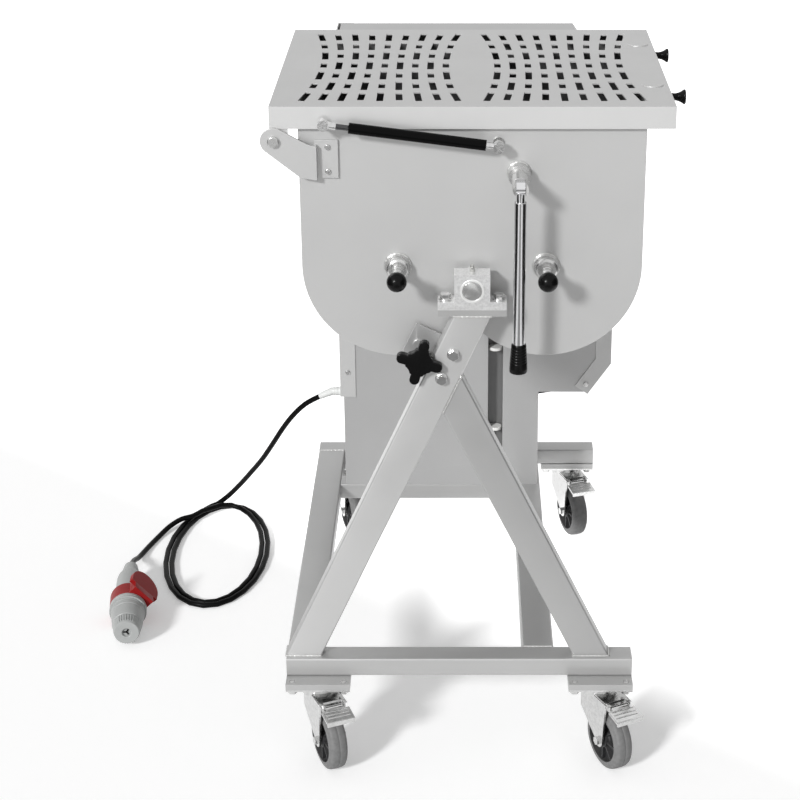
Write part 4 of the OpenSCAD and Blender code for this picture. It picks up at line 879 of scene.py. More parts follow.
class MIXER_OT_cord(Operator):
    """Lays the power cord in its two loops, with its gland and bend relief"""

    bl_idname = "mixer.cord"
    bl_label = "Power cord"

    def execute(self, context):
        diameter = sizes().cord_diameter
        line = cord_line()
        cord = swept("power_cord", line, [diameter / 2] * len(line), 6)
        take(cord)
        bpy.ops.object.shade_smooth()
        finished(cord, "frame", "cord_rubber", "cord_rubber", "cord", "cord_loops")
        gland = from_solid("cable_gland", "cable_gland_body")
        soften(gland, 0.7, 2)
        nut = turned("gland_dome", [
            (0, 0), (9.2, 0), (9.2, 2), (8.6, 2.6), (9.3, 3.4), (9.3, 11), (8.4, 14), (6.6, 16.6),
            (5.4, 17), (0, 17)])
        put(nut, at(-229, 722, 328), (-1, 0, 0))
        soften(nut, 0.3, 2)
        gland = join("cable_gland_body", [gland, nut])
        finished(gland, "frame", "gland_grey", "gland_grey", "cable_gland")
        covered = [line[0]]
        for point in line[1:]:
            covered.append(point)
            if (point - line[0]).length > 0.034:
                break
        fine = []
        for a, b in zip(covered, covered[1:]):
            fine += [a.lerp(b, k / 6) for k in range(6)]
        fine.append(covered[-1])
        radii = []
        for i in range(len(fine)):
            share = i / (len(fine) - 1)
            rib = 0.0006 if i % 3 == 1 and share < 0.85 else 0.0
            radii.append(0.0077 - 0.0021 * share + rib)
        relief = swept("bend_relief", fine, radii, 6)
        take(relief)
        bpy.ops.object.shade_smooth_by_angle(angle=math.radians(40))
        finished(relief, "frame", "gland_grey", "gland_grey")
        return {"FINISHED"}


class MIXER_OT_plug(Operator):
    """Turns the grey plug and dresses the red connector with its sprung flap"""

    bl_idname = "mixer.plug"
    bl_label = "Plug and connector"

    def execute(self, context):
        start = (PLUG_START - MIDDLE) / 1000
        rear = turned("plug_rear", [
            (0, 0), (10.5, 0), (12.6, 1.6), (13.2, 6), (12.6, 7), (13.6, 8), (14.2, 14), (13.6, 15),
            (14.8, 16), (15.4, 22), (14.8, 23), (16, 24), (16.6, 30), (16, 31), (17.4, 32.5),
            (18.2, 38), (19.6, 41), (22.2, 46), (23.6, 54), (24.2, 66), (25, 90), (25.6, 112),
            (26, 122), (0, 122)])
        front = turned("plug_front", [
            (0, 159), (33, 159), (33, 164.4), (32.2, 165), (32.2, 166), (33, 166.6), (33, 170.4),
            (32.4, 171), (30, 171), (29.9, 174), (29.2, 174.6), (29.2, 176), (29.7, 176.6),
            (29.2, 186), (28.5, 186.6), (28.5, 188), (28.9, 188.6), (27.4, 205), (26.4, 217),
            (25.9, 219), (25.0, 219.6), (25.0, 221.4), (25.3, 222), (23.4, 238), (22.2, 242.6),
            (21, 244), (9, 244), (8.2, 243.4), (7.6, 240), (0, 240)])
        ribs = []
        for side in (-1, 1):
            for i in range(7):
                turn = math.radians(side * 90 + (i - 3) * 10)
                bar = block("grip_bar", (0.0232, -0.0008, 0.223), (0.0262, 0.0008, 0.240))
                open_mesh(bar, "VERT")
                pick(bar, verts=lambda v: v.co.z > 0.23)
                bpy.ops.transform.translate(value=(-0.0016, 0, 0))
                close_mesh(bar)
                bar.matrix_world = Matrix.Rotation(turn, 4, "Z")
                settle(bar)
                ribs.append(bar)
        lobes = []
        for i in range(3):
            angle = math.radians(90 + 120 * i)
            lobe = block("key_lobe", (-0.0014, 0.0, 0.2402), (0.0014, 0.0058, 0.2416))
            lobe.matrix_world = Matrix.Rotation(angle, 4, "Z")
            settle(lobe)
            lobes.append(lobe)
        body = join("plug_body", [rear, front, *ribs])
        mark = join("plug_key", lobes)
        for piece in (body, mark):
            put(piece, start, PLUG_WAY)
        soften(body, 0.35, 2, 50, 30)
        soften(mark, 0.2, 1)
        finished(body, "frame", "plug_grey", "plug_grey", "plug")
        finished(mark, "frame", "shadow_black", "plug_grey")
        refine("connector", "connector_collar", "connector_red", "connector_red", 1.6, 3)
        tongue = block("latch_tongue", (0.0215, -0.0045, 0.086), (0.0262, 0.0045, 0.121))
        open_mesh(tongue)
        pick(tongue, verts=lambda v: v.co.z < 0.09)
        bpy.ops.transform.translate(value=(0.008, 0, 0))
        close_mesh(tongue)
        soften(tongue, 1.0, 2)
        tongue.matrix_world = (
            Matrix.Translation(start)
            @ Matrix.Rotation(PLUG_TURN - math.pi / 2, 4, "Z")
            @ Matrix.Rotation(math.pi / 2, 4, "Y")
            @ Matrix.Rotation(math.radians(132), 4, "Z")
        )
        settle(tongue)
        finished(tongue, "frame", "plug_grey", "plug_grey")
        return {"FINISHED"}


# Frame


def square_tube(name, low, high, axis, look):
    """A tube with rounded corners, its wall seen round an inset cap at each end."""
    return shaped_tube(block(name, low, high), axis, look)


def shaped_tube(piece, axis, look, closed=True):
    """Rounds a block's long edges and, where its ends are seen, insets their caps."""
    mesh = open_mesh(piece, "EDGE")

    def run(edge):
        return abs((edge.verts[0].co - edge.verts[1].co)[axis])

    longest = max(map(run, mesh.edges))
    pick(piece, edges=lambda e: run(e) > 0.6 * longest)
    bpy.ops.mesh.bevel(offset=sizes().tube_radius, segments=4, affect="EDGES", clamp_overlap=True)
    if closed:
        bpy.ops.mesh.select_mode(type="FACE")
        pick(piece, faces=lambda f: abs(f.normal[axis]) > 0.8)
        bpy.ops.mesh.inset(thickness=sizes().tube_wall, depth=0)
        bpy.ops.mesh.inset(thickness=0.0002, depth=-0.0012)
    close_mesh(piece)
    soften(piece, 0.25, 1, 50, 40)
    return finished(piece, "frame", look, "satin_stainless")


FRAME_LOW = 150
FRAME_TOP = 180
RAILS = (("left_rail", -289, -239), ("right_rail", 80, 130))
RAIL_Y = (40, 780)
LEG_TOP = 747
LEG_FRONT = 10
LEG_BACK = 40
LONG_FOOT = -262
BRACE_FOOT = 187
BRACE_RISE = 473
BRACE_BLANK = 500
SLOPE = -LONG_FOOT / (LEG_TOP - FRAME_TOP)
LONG_HALF = 25 / math.cos(math.atan(SLOPE))
BRACE_SLOPE = (BRACE_FOOT - LONG_FOOT - BRACE_RISE * SLOPE) / BRACE_RISE
BRACE_HALF = 25 / math.cos(math.atan(BRACE_SLOPE))


def brace_x(z):
    """Middle of the brace at a height."""
    return BRACE_FOOT - (z - FRAME_TOP) * BRACE_SLOPE


def meet_z(h):
    """Height at which the brace's side, h from its middle, meets the long leg."""
    return FRAME_TOP + (BRACE_FOOT + h - LONG_FOOT - LONG_HALF) / (SLOPE + BRACE_SLOPE)


class MIXER_OT_frame(Operator):
    """Builds the square-tube frame with its legs, plates and weld beads"""

    bl_idname = "mixer.frame"
    bl_label = "Frame"

    def execute(self, context):
        bars = [
            ("front_crossbar", (-289, 0), (251, 40)),
            ("rear_crossbar", (-289, 780), (239, 820)),
            ("cabinet_crossbar", (-239, 629), (80, 669)),
        ]
        for name, (x0, y0), (x1, y1) in bars:
            # Both crossbar finishes carry painted shade
            look = "satin_along_x_painted_shade" if y0 < 400 else "satin_along_y_painted_shade"
            low, high = at(x0, y0, FRAME_LOW), at(x1, y1, FRAME_TOP)
            square_tube(name, low, high, 0, look)
        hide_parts("crossbars")
        y0, y1 = RAIL_Y
        rails = [
            square_tube(name, at(x0, y0, FRAME_LOW), at(x1, y1, FRAME_TOP), 1, "satin_along_y_painted_shade")
            for name, x0, x1 in RAILS
        ]
        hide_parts("side_rails")

        leg = block(
            "long_leg_tube",
            at(LONG_FOOT - LONG_HALF, LEG_FRONT, FRAME_TOP),
            at(LONG_FOOT + LONG_HALF, LEG_BACK, LEG_TOP),
        )
        open_mesh(leg, "VERT")
        pick(leg, verts=lambda v: v.co.z > 0.5)
        bpy.ops.transform.translate(value=(-LONG_FOOT / 1000, 0, 0))
        close_mesh(leg)
        shaped_tube(leg, 2, "satin_along_z", closed=False)
        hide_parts("long_leg")

        brace = block(
            "brace_leg_tube",
            at(BRACE_FOOT - BRACE_HALF, LEG_FRONT, FRAME_TOP),
            at(BRACE_FOOT + BRACE_HALF, LEG_BACK, BRACE_BLANK),
        )
        open_mesh(brace, "VERT")
        for side in (-1, 1):
            top = meet_z(side * BRACE_HALF)
            x = at(brace_x(top) + side * BRACE_HALF, 0, 0).x
            now = at(BRACE_FOOT + side * BRACE_HALF, 0, 0).x
            pick(brace, verts=lambda v: v.co.z > 0.4 and abs(v.co.x - now) < 0.001)
            bpy.ops.transform.translate(value=(x - now, 0, (top - BRACE_BLANK) / 1000))
        close_mesh(brace)
        # Painted shade on the brace leg
        shaped_tube(brace, 2, "brace_painted_shade", closed=False)
        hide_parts("brace_leg")

        refine("frame_plates", "pads_and_top_plate", "satin_along_x_painted_shade", "satin_stainless", 0.8)

        beads = []
        around = ((-1, LEG_FRONT), (1, LEG_FRONT), (1, LEG_BACK), (-1, LEG_BACK))
        for name, x, z, half in (
            ("foot_bead", LONG_FOOT, FRAME_TOP, LONG_HALF),
            ("foot_bead", BRACE_FOOT, FRAME_TOP, BRACE_HALF),
            ("head_bead", 0, LEG_TOP - 0.4, LONG_HALF),
        ):
            beads.append(bead(name, [at(x + side * half, y, z) for side, y in around]))
        low, high = meet_z(-BRACE_HALF), meet_z(BRACE_HALF)
        ends = ((brace_x(low) - BRACE_HALF, low), (brace_x(high) + BRACE_HALF, high))
        seam = [at(x, LEG_FRONT, z) for x, z in ends]
        seam += [at(x, LEG_BACK, z) for x, z in reversed(ends)]
        beads.append(bead("brace_bead", seam))
        for _, x0, x1 in RAILS:
            for y in RAIL_Y:
                line = [at(x0 + 3, y, FRAME_TOP - 0.4), at(x1 - 3, y, FRAME_TOP - 0.4)]
                beads.append(bead("rail_bead", line, False))
        for x, y, _ in CASTERS.values():
            line = [at(x - 46, y, FRAME_LOW), at(x + 46, y, FRAME_LOW)]
            beads.append(bead("pad_bead", line, False))
        welds = join("weld_beads", beads)
        finished(welds, "frame", "weld_steel", "satin_stainless")
        return {"FINISHED"}


class MIXER_OT_bearing(Operator):
    """Dresses the front bearing, its bush, its bolts and the trunnion"""

    bl_idname = "mixer.bearing"
    bl_label = "Front bearing"

    def execute(self, context):
        refine("bearing_block", "bearing_housing", "milled_aluminium", "milled_aluminium", 0.9, 3)
        bush = from_solid("bearing_bush", "bush_ring")
        soften(bush, 0.4, 2)
        lip = turned("bush_lip", [
            (14.2, -1), (14.2, 0.7), (14.7, 1.2), (17.2, 1.2), (17.8, 0.7), (17.8, -0.1),
            (17, -0.1), (17, -1), (14.2, -1)])
        put(lip, at(0, 10, TILT_Z), (0, -1, 0))
        soften(lip, 0.2, 2)
        ring = join("bush_ring", [bush, lip])
        finished(ring, "frame", "bush_bronze", "bush_bronze", "bearing_bush")
        refine("front_trunnion", "trunnion_pin", "turned_steel", "satin_stainless", 1.0)
        refine("frame_bolts", "hexagon_bolts", "bright_zinc", "zinc_fixings", 0.7)
        refine("grease_nipple", "grease_fitting", "nipple_brass", "nipple_brass", 0.6)
        return {"FINISHED"}


class MIXER_OT_lock(Operator):
    """Dresses the tilt lock: its bracket and the soft four-armed knob"""

    bl_idname = "mixer.lock"
    bl_label = "Tilt lock"

    def execute(self, context):
        refine("lock_bracket", "lock_plate", "satin_along_x_painted_shade", "satin_stainless", 0.7)
        knob = from_solid("lock_knob", "star_knob")
        low = at(0, -16.35, 0).y
        high = at(0, -4.25, 0).y
        open_mesh(knob, "EDGE")

        def rim(edge):
            a, b = edge.verts[0].co, edge.verts[1].co
            flat = abs(a.y - b.y) < 0.0001
            if not flat or not low - 0.001 < a.y < high + 0.001:
                return False
            centre = at(-77, 0, 679)
            reach = min(math.hypot(v.x - centre.x, v.z - centre.z) for v in (a, b))
            return reach > 0.0105 and len(edge.link_faces) == 2

        pick(knob, edges=rim)
        bpy.ops.mesh.bevel(offset=0.0032, segments=4, affect="EDGES", clamp_overlap=True)
        close_mesh(knob)
        soften(knob, 0, 1, 40, 45)
        finished(knob, "lock", "black_plastic", "black_plastic", "lock_knob")
        return {"FINISHED"}


class MIXER_OT_casters(Operator):
    """Builds the four braked swivel casters"""

    bl_idname = "mixer.casters"
    bl_label = "Casters"

    def execute(self, context):
        refine("caster_plates", "caster_top_plates", "bright_zinc", "caster_zinc", 0.6)
        tyre = turned("tyre", [
            (37, -15), (41, -15), (41.6, -14.2), (45.4, -13.4), (48.4, -11.4), (49.6, -8.4),
            (49.95, -4), (50, -0.7), (49.7, -0.3), (49.7, 0.3), (50, 0.7), (49.95, 4), (49.6, 8.4),
            (48.4, 11.4), (45.4, 13.4), (41.6, 14.2), (41, 15), (37, 15)], 72)
        core = turned("core", [
            (4.1, -15), (9.5, -15), (13, -14.2), (13.4, -9.5), (15.5, -7.6), (33, -6.6), (35.6, -8),
            (36.4, -14.6), (37, -15), (37, 15), (36.4, 14.6), (35.6, 8), (33, 6.6), (15.5, 7.6),
            (13.4, 9.5), (13, 14.2), (9.5, 15), (4.1, 15), (4.1, -15)], 72)
        spokes = []
        for side in (-1, 1):
            for i in range(8):
                spoke = block("spoke", (0.0125, -0.0014, -0.0032), (0.0362, 0.0014, 0.0032))
                spoke.matrix_world = (
                    Matrix.Rotation(math.radians(45 * i), 4, "Z")
                    @ Matrix.Translation((0, 0, side * 0.0098))
                )
                settle(spoke)
                spokes.append(spoke)
        core = join("core", [core, *spokes])
        soften(tyre, 0, 1, 60, 50)
        soften(core, 0, 1, 60, 35)
        for place, (x, y, angle) in CASTERS.items():
            turn = Matrix.Rotation(math.radians(angle), 4, "Z")
            spot = Matrix.Translation(at(x, y, 0)) @ turn
            axle = Matrix.Translation((0, -TRAIL / 1000, 0.05))
            hub = spot @ axle @ Matrix.Rotation(math.pi / 2, 4, "Y")
            parts = ((tyre, "tyre_", "tyre_rubber"), (core, "rim_", "wheel_core"))
            for source, name, look in parts:
                piece = again(source, name + place)
                piece.matrix_world = hub
                settle(piece)
                finished(piece, "wheel_" + place, look, "caster_rubber")
                if source is tyre:
                    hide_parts("wheel_" + place)
            refine("fork_" + place, "fork_body_" + place, "bright_zinc", "caster_zinc", 1.0, 3)
            refine("pedal_" + place, "pedal_plate_" + place, "bright_zinc", "caster_zinc", 0.7, 2)
            pedal_dress(place, spot)
            fork_dress(place, spot)
        for piece in (tyre, core):
            bpy.data.objects.remove(piece)
        return {"FINISHED"}


def pedal_dress(place, spot):
    """Cross ribs and the turned-down lip of a brake pedal."""
    rib = (19, 1.2, 1, 0.6)
    lip = (22.8, 1.5, 7, 0.5)
    ribs = []
    for y, (wide, half, low, high) in ((72, rib), (79, rib), (86, rib), (95.4, lip)):
        top = PEDAL_Z + 4 - (y - PEDAL_Y) * PEDAL_SLOPE
        start = Vector((-wide, -(y + half), top - low)) / 1000
        end = Vector((wide, -(y - half), top + high)) / 1000
        ribs.append(block("rib", start, end))
    piece = join("pedal_ribs_" + place, ribs)
    piece.matrix_world = spot
    settle(piece)
    soften(piece, 0.5, 2)
    finished(piece, "pedal_" + place, "bright_zinc", "caster_zinc")


def fork_dress(place, spot):
    """The ball race's skirt under the plate and the flat cover over the brake."""
    race = turned("race", [
        (6.2, 131.6), (24, 131.6), (27.4, 130.4), (29.2, 127.6), (29.6, 124.6), (28.4, 123.2),
        (25, 122.8), (6.2, 122.8)])
    race.matrix_world = spot
    settle(race)
    soften(race, 0.3, 2, 50)
    cover = block("cover", (-0.0222, -0.064, 0.1226), (0.0222, -0.022, 0.1238))
    cover.matrix_world = spot
    settle(cover)
    soften(cover, 0.4, 2)
    piece = join("race_skirt_" + place, [race, cover])
    finished(piece, "fork_" + place, "bright_zinc", "caster_zinc")


class MIXER_OT_cabinet(Operator):
    """Dresses the drive cabinet, its covers, channel, screws and buttons"""

    bl_idname = "mixer.cabinet"
    bl_label = "Drive cabinet"

    def execute(self, context):
        body = from_solid("cabinet_body", "cabinet_shell")
        soften(body, 0.8, 2)
        finished(body, "frame", "cabinet_sheet", "cabinet_sheet", "cabinet_body")
        low, high = at(126, 632, 352), at(209, 672, 365.6)
        inner, outer = at(32.5, 629.4, 229.5), at(60.5, 656.5, 500.5)

        def wedge(face):
            centre = face.calc_center_median()
            return low.y < centre.y < high.y and centre.z < high.z and centre.x > low.x

        def channel(face):
            centre = face.calc_center_median()
            return all(inner[i] < centre[i] < outer[i] for i in range(3))

        paint(body, "shadow_black", wedge)
        # Painted shade on the faces of the recessed channel
        paint(body, "channel_painted_shade", channel)
        refine("side_covers", "cover_strips", "satin_sheet", "cabinet_sheet", 0.5)
        refine("back_panel", "rear_panel", "cabinet_sheet", "cabinet_sheet", 0.5)
        refine("cover_screws", "cover_screw_heads", "bright_zinc", "zinc_fixings", 1.0)
        refine("channel_buffers", "channel_stops", "white_plastic", "buffer_white", 1.4, 3)
        refine("start_button", "start_cap", "start_green", "start_green", 1.6, 3)
        refine("stop_button", "stop_cap", "stop_red", "stop_red", 1.6, 3)
        return {"FINISHED"}


class MIXER_OT_drive(Operator):
    """Dresses the rear bearing, the gearmotor, the gear case and the gears"""

    bl_idname = "mixer.drive"
    bl_label = "Drive"

    def execute(self, context):
        refine("rear_bearing", "rear_bearing_housing", "milled_aluminium", "milled_aluminium", 1.2)
        refine("gearmotor", "reducer_and_motor", "motor_grey", "motor_grey", 2.5, 3)
        refine("gear_case", "gear_housing", "satin_sheet", "satin_stainless", 0.8)
        refine("left_gear", "left_cluster_gear", "gear_steel", "gear_steel", 0.3, 1)
        refine("right_gear", "right_spur_gear", "gear_steel", "gear_steel", 0.3, 1)
        refine("drive_pinion", "pinion_and_shaft", "gear_steel", "gear_steel", 0.3, 1)
        return {"FINISHED"}


class MIXER_OT_tank(Operator):
    """Dresses the tank, its end walls and the bosses welded to them"""

    bl_idname = "mixer.tank"
    bl_label = "Tank"

    def execute(self, context):
        trough = refine("tank", "trough_sheet", "satin_sheet", "satin_stainless", 0.3, 1)
        walls = refine("end_walls", "tank_end_walls", "satin_sheet", "satin_stainless", 0.8, 2)
        middle = at(0, 291, 900)

        def inside(face):
            inward = (middle - face.calc_center_median()).normalized()
            return face.calc_area() > 2e-5 and face.normal.dot(inward) > 0.12

        # Painted shade: the inside faces get a darker finish than the outside, so that the lid's
        # slots look dark
        for piece in (trough, walls):
            paint(piece, "tank_inside_painted_shade", inside)
        refine("wall_bosses", "welded_bosses", "turned_steel", "satin_stainless", 0.9)
        beads = []
        turns = [a / 28 * 2 * math.pi for a in range(28)]
        shafts = [(side * SHAFT_X, SHAFT_Z, 19) for side in (-1, 1)]
        for x, z, radius in (*shafts, (HANDLE_X, HANDLE_Z, 16), (0, TILT_Z, 20)):
            ring = [
                at(x + radius * math.cos(a), TANK_Y - 0.4, z + radius * math.sin(a)) for a in turns
            ]
            beads.append(bead("boss_bead", ring))
        finished(join("boss_welds", beads), "tank", "weld_steel", "satin_stainless")
        return {"FINISHED"}


class MIXER_OT_lid(Operator):
    """Dresses the perforated lid, its hinge, its catches and the gas strut"""

    bl_idname = "mixer.lid"
    bl_label = "Lid"

    def execute(self, context):
        lid = from_solid("lid", "lid_sheet")
        soften(lid, 0.7, 3)
        # Painted shade on the lid's top and painted light on its skirt
        finished(lid, "lid", "lid_top", "satin_stainless", "lid")
        paint(lid, "lid_skirt_painted_light", lambda f: abs(f.normal.z) < 0.3)
        # Painted shade on the lid's underside, as on the tank's inside
        paint(lid, "tank_inside_painted_shade", lambda f: f.normal.z < -0.9)
        for catch, y in CATCH_Y.items():
            # Painted highlight: a thin white oval on the lid's top by each catch, where the lid
            # shows an oval highlight
            highlight_dome = turned("boss", [(0, 1.0), (9, 0.95), (13, 0.7), (15.4, 0.25), (16, 0)])
            highlight_dome.scale = (1, 0.72, 1)
            settle(highlight_dome)
            put(highlight_dome, at(264.5, y, LID_TOP - 0.01))
            take(highlight_dome)
            bpy.ops.object.shade_smooth()
            highlight_dome.name = catch.replace("catch", "boss")
            finished(highlight_dome, "lid", "white_plastic", "satin_stainless")
        refine("hinge_arms", "hinge_brackets", "satin_sheet", "satin_stainless", 0.7)
        refine("arm_screws", "bracket_screws", "bright_zinc", "zinc_fixings", 1.2, 3)
        refine("hinge_pins", "hinge_rivets", "turned_steel", "pin_steel", 2.4, 4)
        for name, y in CATCH_Y.items():
            knob = turned("knob", [
                (0, 0), (6, 0), (6.2, 1.4), (5.4, 2), (6, 2.8), (5.2, 3.6), (5.8, 4.6), (5.2, 5.6),
                (5.6, 8), (6.6, 12), (8.6, 16), (10.4, 18.4), (11, 19.6), (10.9, 21), (10, 21.9),
                (0, 22)])
            put(knob, at(291.5, y, CATCH_Z), (1, 0, 0))
            soften(knob, 0.3, 2, 40)
            pin = turned("pin", [(0, 0), (3.4, 0), (4, 0.8), (4, 40.5), (0, 40.5)], 32)
            put(pin, at(251, y, CATCH_Z), (1, 0, 0))
            soften(pin, 0, 1)
            knob.name = name + "_knob"
            pin.name = name + "_pin"
            finished(knob, name, "black_plastic", "black_plastic", name)
            finished(pin, name, "turned_steel", "pin_steel")
        tube = refine("strut_cylinder", "strut_tube", "strut_black", "strut_black", 0.8, 3)
        rod = refine("strut_rod", "strut_piston", "rod_dark", "strut_steel", 0.6)
        sockets = ((tube, at(37, 30, 995), 0.020), (rod, at(-210, 30, 1027), 0.024))
        for piece, stud, reach in sockets:
            paint(piece, "bright_zinc", lambda f: (f.calc_center_median() - stud).length < reach)
        return {"FINISHED"}


class MIXER_OT_handle(Operator):
    """Turns the tilt handle and its ribbed grip"""

    bl_idname = "mixer.handle"
    bl_label = "Tilt handle"

    def execute(self, context):
        refine("handle_rod", "handle_bar", "chrome", "handle_tube", 0.8, 3)
        profile = [(0, 0), (11.6, 0), (12.9, 0.8), (13.5, 2.4), (13.4, 8), (13, 14)]
        z, r = 16.0, 12.8
        while z < 40:
            profile += [(r, z), (r - 0.7, z + 0.7), (r - 0.7, z + 1.7), (r - 0.1, z + 2.4)]
            z += 4.2
            r -= 0.3
        profile += [(10.8, 42.6), (10.2, 43.8), (9.4, 44), (8.76, 44)]
        grip = turned("grip_cone", profile)
        put(grip, at(HANDLE_X, -19, 672))
        soften(grip, 0.2, 2, 50, 40)
        finished(grip, "handle", "black_plastic", "black_plastic", "handle_grip")
        return {"FINISHED"}


class MIXER_OT_shafts(Operator):
    """Turns the shaft pins with their ball knobs and dresses the mixing shafts"""

    bl_idname = "mixer.shafts"
    bl_label = "Mixing shafts"

    def execute(self, context):
        for side, word in ((-1, "left"), (1, "right")):
            place = at(side * SHAFT_X, PIN_FACE, SHAFT_Z)
            sleeve = turned(word + "_pin_sleeve", [
                (0, -40), (7.4, -40), (8, -39), (8, 0), (15.4, 0), (16.5, 1), (16.5, 10.8),
                (15.4, 12.2), (13.2, 13), (12.8, 14), (8, 14), (8, 22), (7, 22.8), (7, 24.4),
                (8, 25.2), (8, 33), (7, 33.8), (7, 35.4), (8, 36.2), (8, 52), (0, 52)])
            put(sleeve, place, (0, -1, 0))
            soften(sleeve, 0.3, 2, 40)
            finished(sleeve, word + "_pin", "turned_steel", "pin_steel", word + "_pin")
            arc = [math.radians(-62 + 152 * i / 18) for i in range(19)]
            ball = [(BALL_R * math.cos(a), BALL_OUT + BALL_R * math.sin(a)) for a in arc[:-1]]
            cap = turned(word + "_pin_ball", [(0, 50.9), *ball, (0, BALL_OUT + BALL_R)])
            put(cap, place, (0, -1, 0))
            soften(cap, 0, 1, 40, 50)
            finished(cap, word + "_pin", "black_plastic", "black_plastic")
            name = word + "_mixing_shaft"
            shaft = refine(word + "_paddle", name, "satin_sheet", "paddle_steel", 0.6)
            axis = at(side * SHAFT_X, 0, SHAFT_Z)

            def round_side(edge):
                reach = [1000 * math.hypot(v.co.x - axis.x, v.co.z - axis.z) for v in edge.verts]
                return all(abs(r - SHAFT_R) < 0.4 for r in reach)

            # A little thinner than the solid, whose facets touch the bores' facets as it turns
            open_mesh(shaft, "EDGE")
            pick(shaft, edges=round_side)
            bpy.ops.transform.resize(value=(0.985, 1, 0.985), center_override=axis)
            close_mesh(shaft)
        return {"FINISHED"}


def seen_rays(tree):
    """1 for the rays that see the backdrop: the camera's, the reflected and the refracted."""
    path = tree.nodes.new("ShaderNodeLightPath")
    seen = math_node(
        tree, "MAXIMUM", path.outputs["Is Camera Ray"], path.outputs["Is Glossy Ray"]
    )
    return math_node(tree, "MAXIMUM", seen, path.outputs["Is Transmission Ray"])


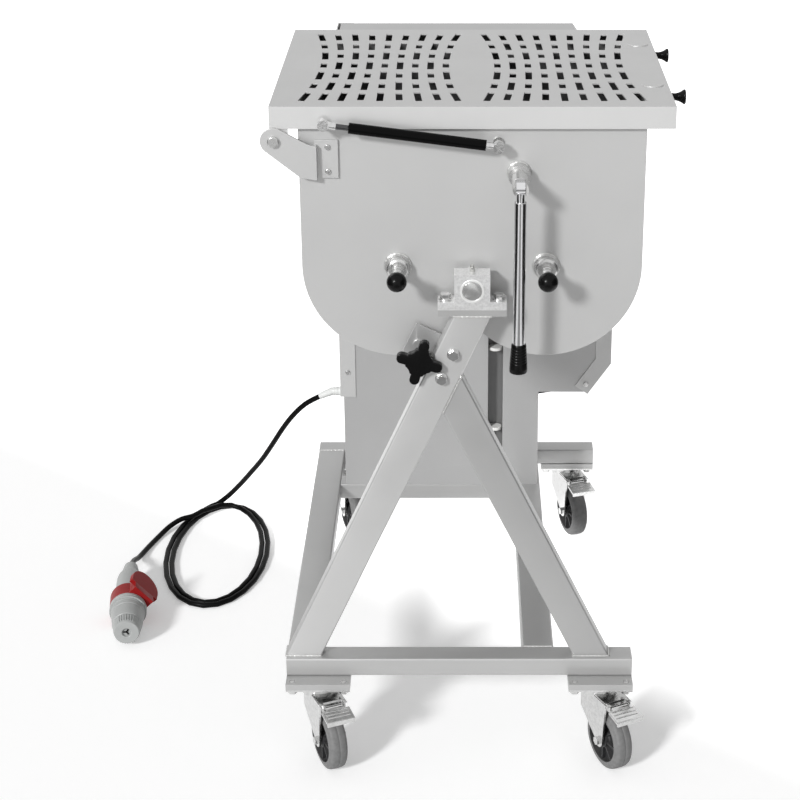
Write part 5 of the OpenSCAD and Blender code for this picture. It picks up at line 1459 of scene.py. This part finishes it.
class MIXER_OT_stage(Operator):
    """Sets the pale floor with painted light at its right and back, the lamp, the cards that only
    reflections see, and the camera
    """

    bl_idname = "mixer.stage"
    bl_label = "Stage"

    def execute(self, context):
        scene = context.scene
        scene.view_settings.view_transform = "Standard"
        rest()
        bpy.ops.mesh.primitive_plane_add(size=60, location=(0, 0, -0.0006))
        floor = context.object
        floor.name = "studio_floor"
        material = bpy.data.materials.new("studio_floor")
        material.use_nodes = True
        tree = material.node_tree
        tree.nodes.clear()
        out = tree.nodes.new("ShaderNodeOutputMaterial")
        matt = tree.nodes.new("ShaderNodeBsdfDiffuse")
        matt.inputs["Color"].default_value = (0.88, 0.88, 0.88, 1)
        glow = tree.nodes.new("ShaderNodeEmission")
        glow.inputs["Color"].default_value = (1, 1, 1, 1)
        seen = seen_rays(tree)
        # Painted light: the floor's glow rises towards the right and back, so that the machine's
        # shadows fade out there
        place = tree.nodes.new("ShaderNodeTexCoord").outputs["Object"]
        across = tree.nodes.new("ShaderNodeVectorMath")
        across.operation = "DOT_PRODUCT"
        tree.links.new(place, across.inputs[0])
        across.inputs[1].default_value = (0.64, 0.77, 0)
        painted_light_fade = tree.nodes.new("ShaderNodeMapRange")
        painted_light_fade.interpolation_type = "SMOOTHSTEP"
        painted_light_fade.inputs["From Min"].default_value = -0.06
        painted_light_fade.inputs["From Max"].default_value = 0.16
        painted_light_fade.inputs["To Min"].default_value = 0.29
        painted_light_fade.inputs["To Max"].default_value = 0.95
        tree.links.new(across.outputs["Value"], painted_light_fade.inputs["Value"])
        tree.links.new(math_node(tree, "MULTIPLY", seen, painted_light_fade.outputs[0]), glow.inputs["Strength"])
        both = tree.nodes.new("ShaderNodeAddShader")
        tree.links.new(matt.outputs[0], both.inputs[0])
        tree.links.new(glow.outputs[0], both.inputs[1])
        tree.links.new(both.outputs[0], out.inputs["Surface"])
        floor.data.materials.append(material)

        world = bpy.data.worlds.new("studio")
        scene.world = world
        world.use_nodes = True
        tree = world.node_tree
        tree.nodes.clear()
        out = tree.nodes.new("ShaderNodeOutputWorld")
        white = tree.nodes.new("ShaderNodeBackground")
        white.inputs["Color"].default_value = (1, 1, 1, 1)
        white.inputs["Strength"].default_value = 1.0
        soft = tree.nodes.new("ShaderNodeBackground")
        soft.inputs["Color"].default_value = (1, 1, 1, 1)
        soft.inputs["Strength"].default_value = 0.36
        seen = seen_rays(tree)
        mix = tree.nodes.new("ShaderNodeMixShader")
        tree.links.new(seen, mix.inputs["Fac"])
        tree.links.new(soft.outputs[0], mix.inputs[1])
        tree.links.new(white.outputs[0], mix.inputs[2])
        tree.links.new(mix.outputs[0], out.inputs["Surface"])

        bpy.ops.object.light_add(type="SUN", location=(-1.5, -2.2, 3.0))
        sun = context.object
        sun.name = "key_lamp"
        sun.data.energy = 2.9
        sun.data.angle = math.radians(8)
        lamp = Vector((-0.485, -0.747, 0.454))
        sun.rotation_euler = (-lamp).to_track_quat("-Z", "Y").to_euler()
        cards = (
            ("front_card", (0, -2.7, 0.01), (1.5, 3.0), (0, 0, 1), 0.40),
            ("left_card", (-1.55, -0.6, 0.85), (3.0, 1.6), (1, 0, 0), 0.03),
            ("right_card", (1.55, -0.6, 0.85), (3.0, 1.6), (-1, 0, 0), 0.03),
        )
        for name, place, size, way, tone in cards:
            rest()
            bpy.ops.mesh.primitive_plane_add(size=1, location=place)
            card = context.object
            card.name = name
            card.scale = (*size, 1)
            card.rotation_euler = Vector(way).to_track_quat("Z", "Y").to_euler()
            card.visible_camera = False
            card.visible_diffuse = False
            card.visible_shadow = False
            card.data.materials.append(
                surface(name, tone=(tone, tone, tone), gloss=0.9, specular=0.0, spread=0.1)
            )

        bpy.ops.object.camera_add(location=at(-17.7, -2641, 1754))
        camera = context.object
        camera.rotation_euler = (math.radians(90 - 23.24), 0, 0)
        camera.data.lens = 87.93
        camera.data.sensor_width = 36
        camera.data.shift_x = -0.075
        camera.data.shift_y = 0
        camera.data.clip_end = 100
        scene.camera = camera
        return {"FINISHED"}


class MIXER_PT_build(Panel):
    bl_label = "Meat mixer"
    bl_idname = "MIXER_PT_build"
    bl_space_type = "VIEW_3D"
    bl_region_type = "UI"
    bl_category = "Mixer"

    def draw(self, context):
        layout = self.layout
        for group, names in (
            (context.scene.mixer_sizes, MixerSizes.__annotations__),
            (context.scene.mixer_finish, MixerFinish.__annotations__),
        ):
            box = layout.box()
            for name in names:
                box.prop(group, name)
        for operator in OPERATORS:
            layout.operator(operator.bl_idname)


OPERATORS = (
    MIXER_OT_stage,
    MIXER_OT_cord,
    MIXER_OT_plug,
    MIXER_OT_frame,
    MIXER_OT_bearing,
    MIXER_OT_lock,
    MIXER_OT_casters,
    MIXER_OT_cabinet,
    MIXER_OT_drive,
    MIXER_OT_tank,
    MIXER_OT_lid,
    MIXER_OT_handle,
    MIXER_OT_shafts,
)
CLASSES = (MixerSizes, MixerFinish, *OPERATORS, MIXER_PT_build)


def register():
    for item in CLASSES:
        bpy.utils.register_class(item)
    bpy.types.Scene.mixer_sizes = PointerProperty(type=MixerSizes)
    bpy.types.Scene.mixer_finish = PointerProperty(type=MixerFinish)


def unregister():
    del bpy.types.Scene.mixer_finish
    del bpy.types.Scene.mixer_sizes
    for item in reversed(CLASSES):
        bpy.utils.unregister_class(item)


def main():
    register()
    for operator in OPERATORS:
        group, name = operator.bl_idname.split(".")
        getattr(getattr(bpy.ops, group), name)()
    rest()


if __name__ == "__main__":
    main()
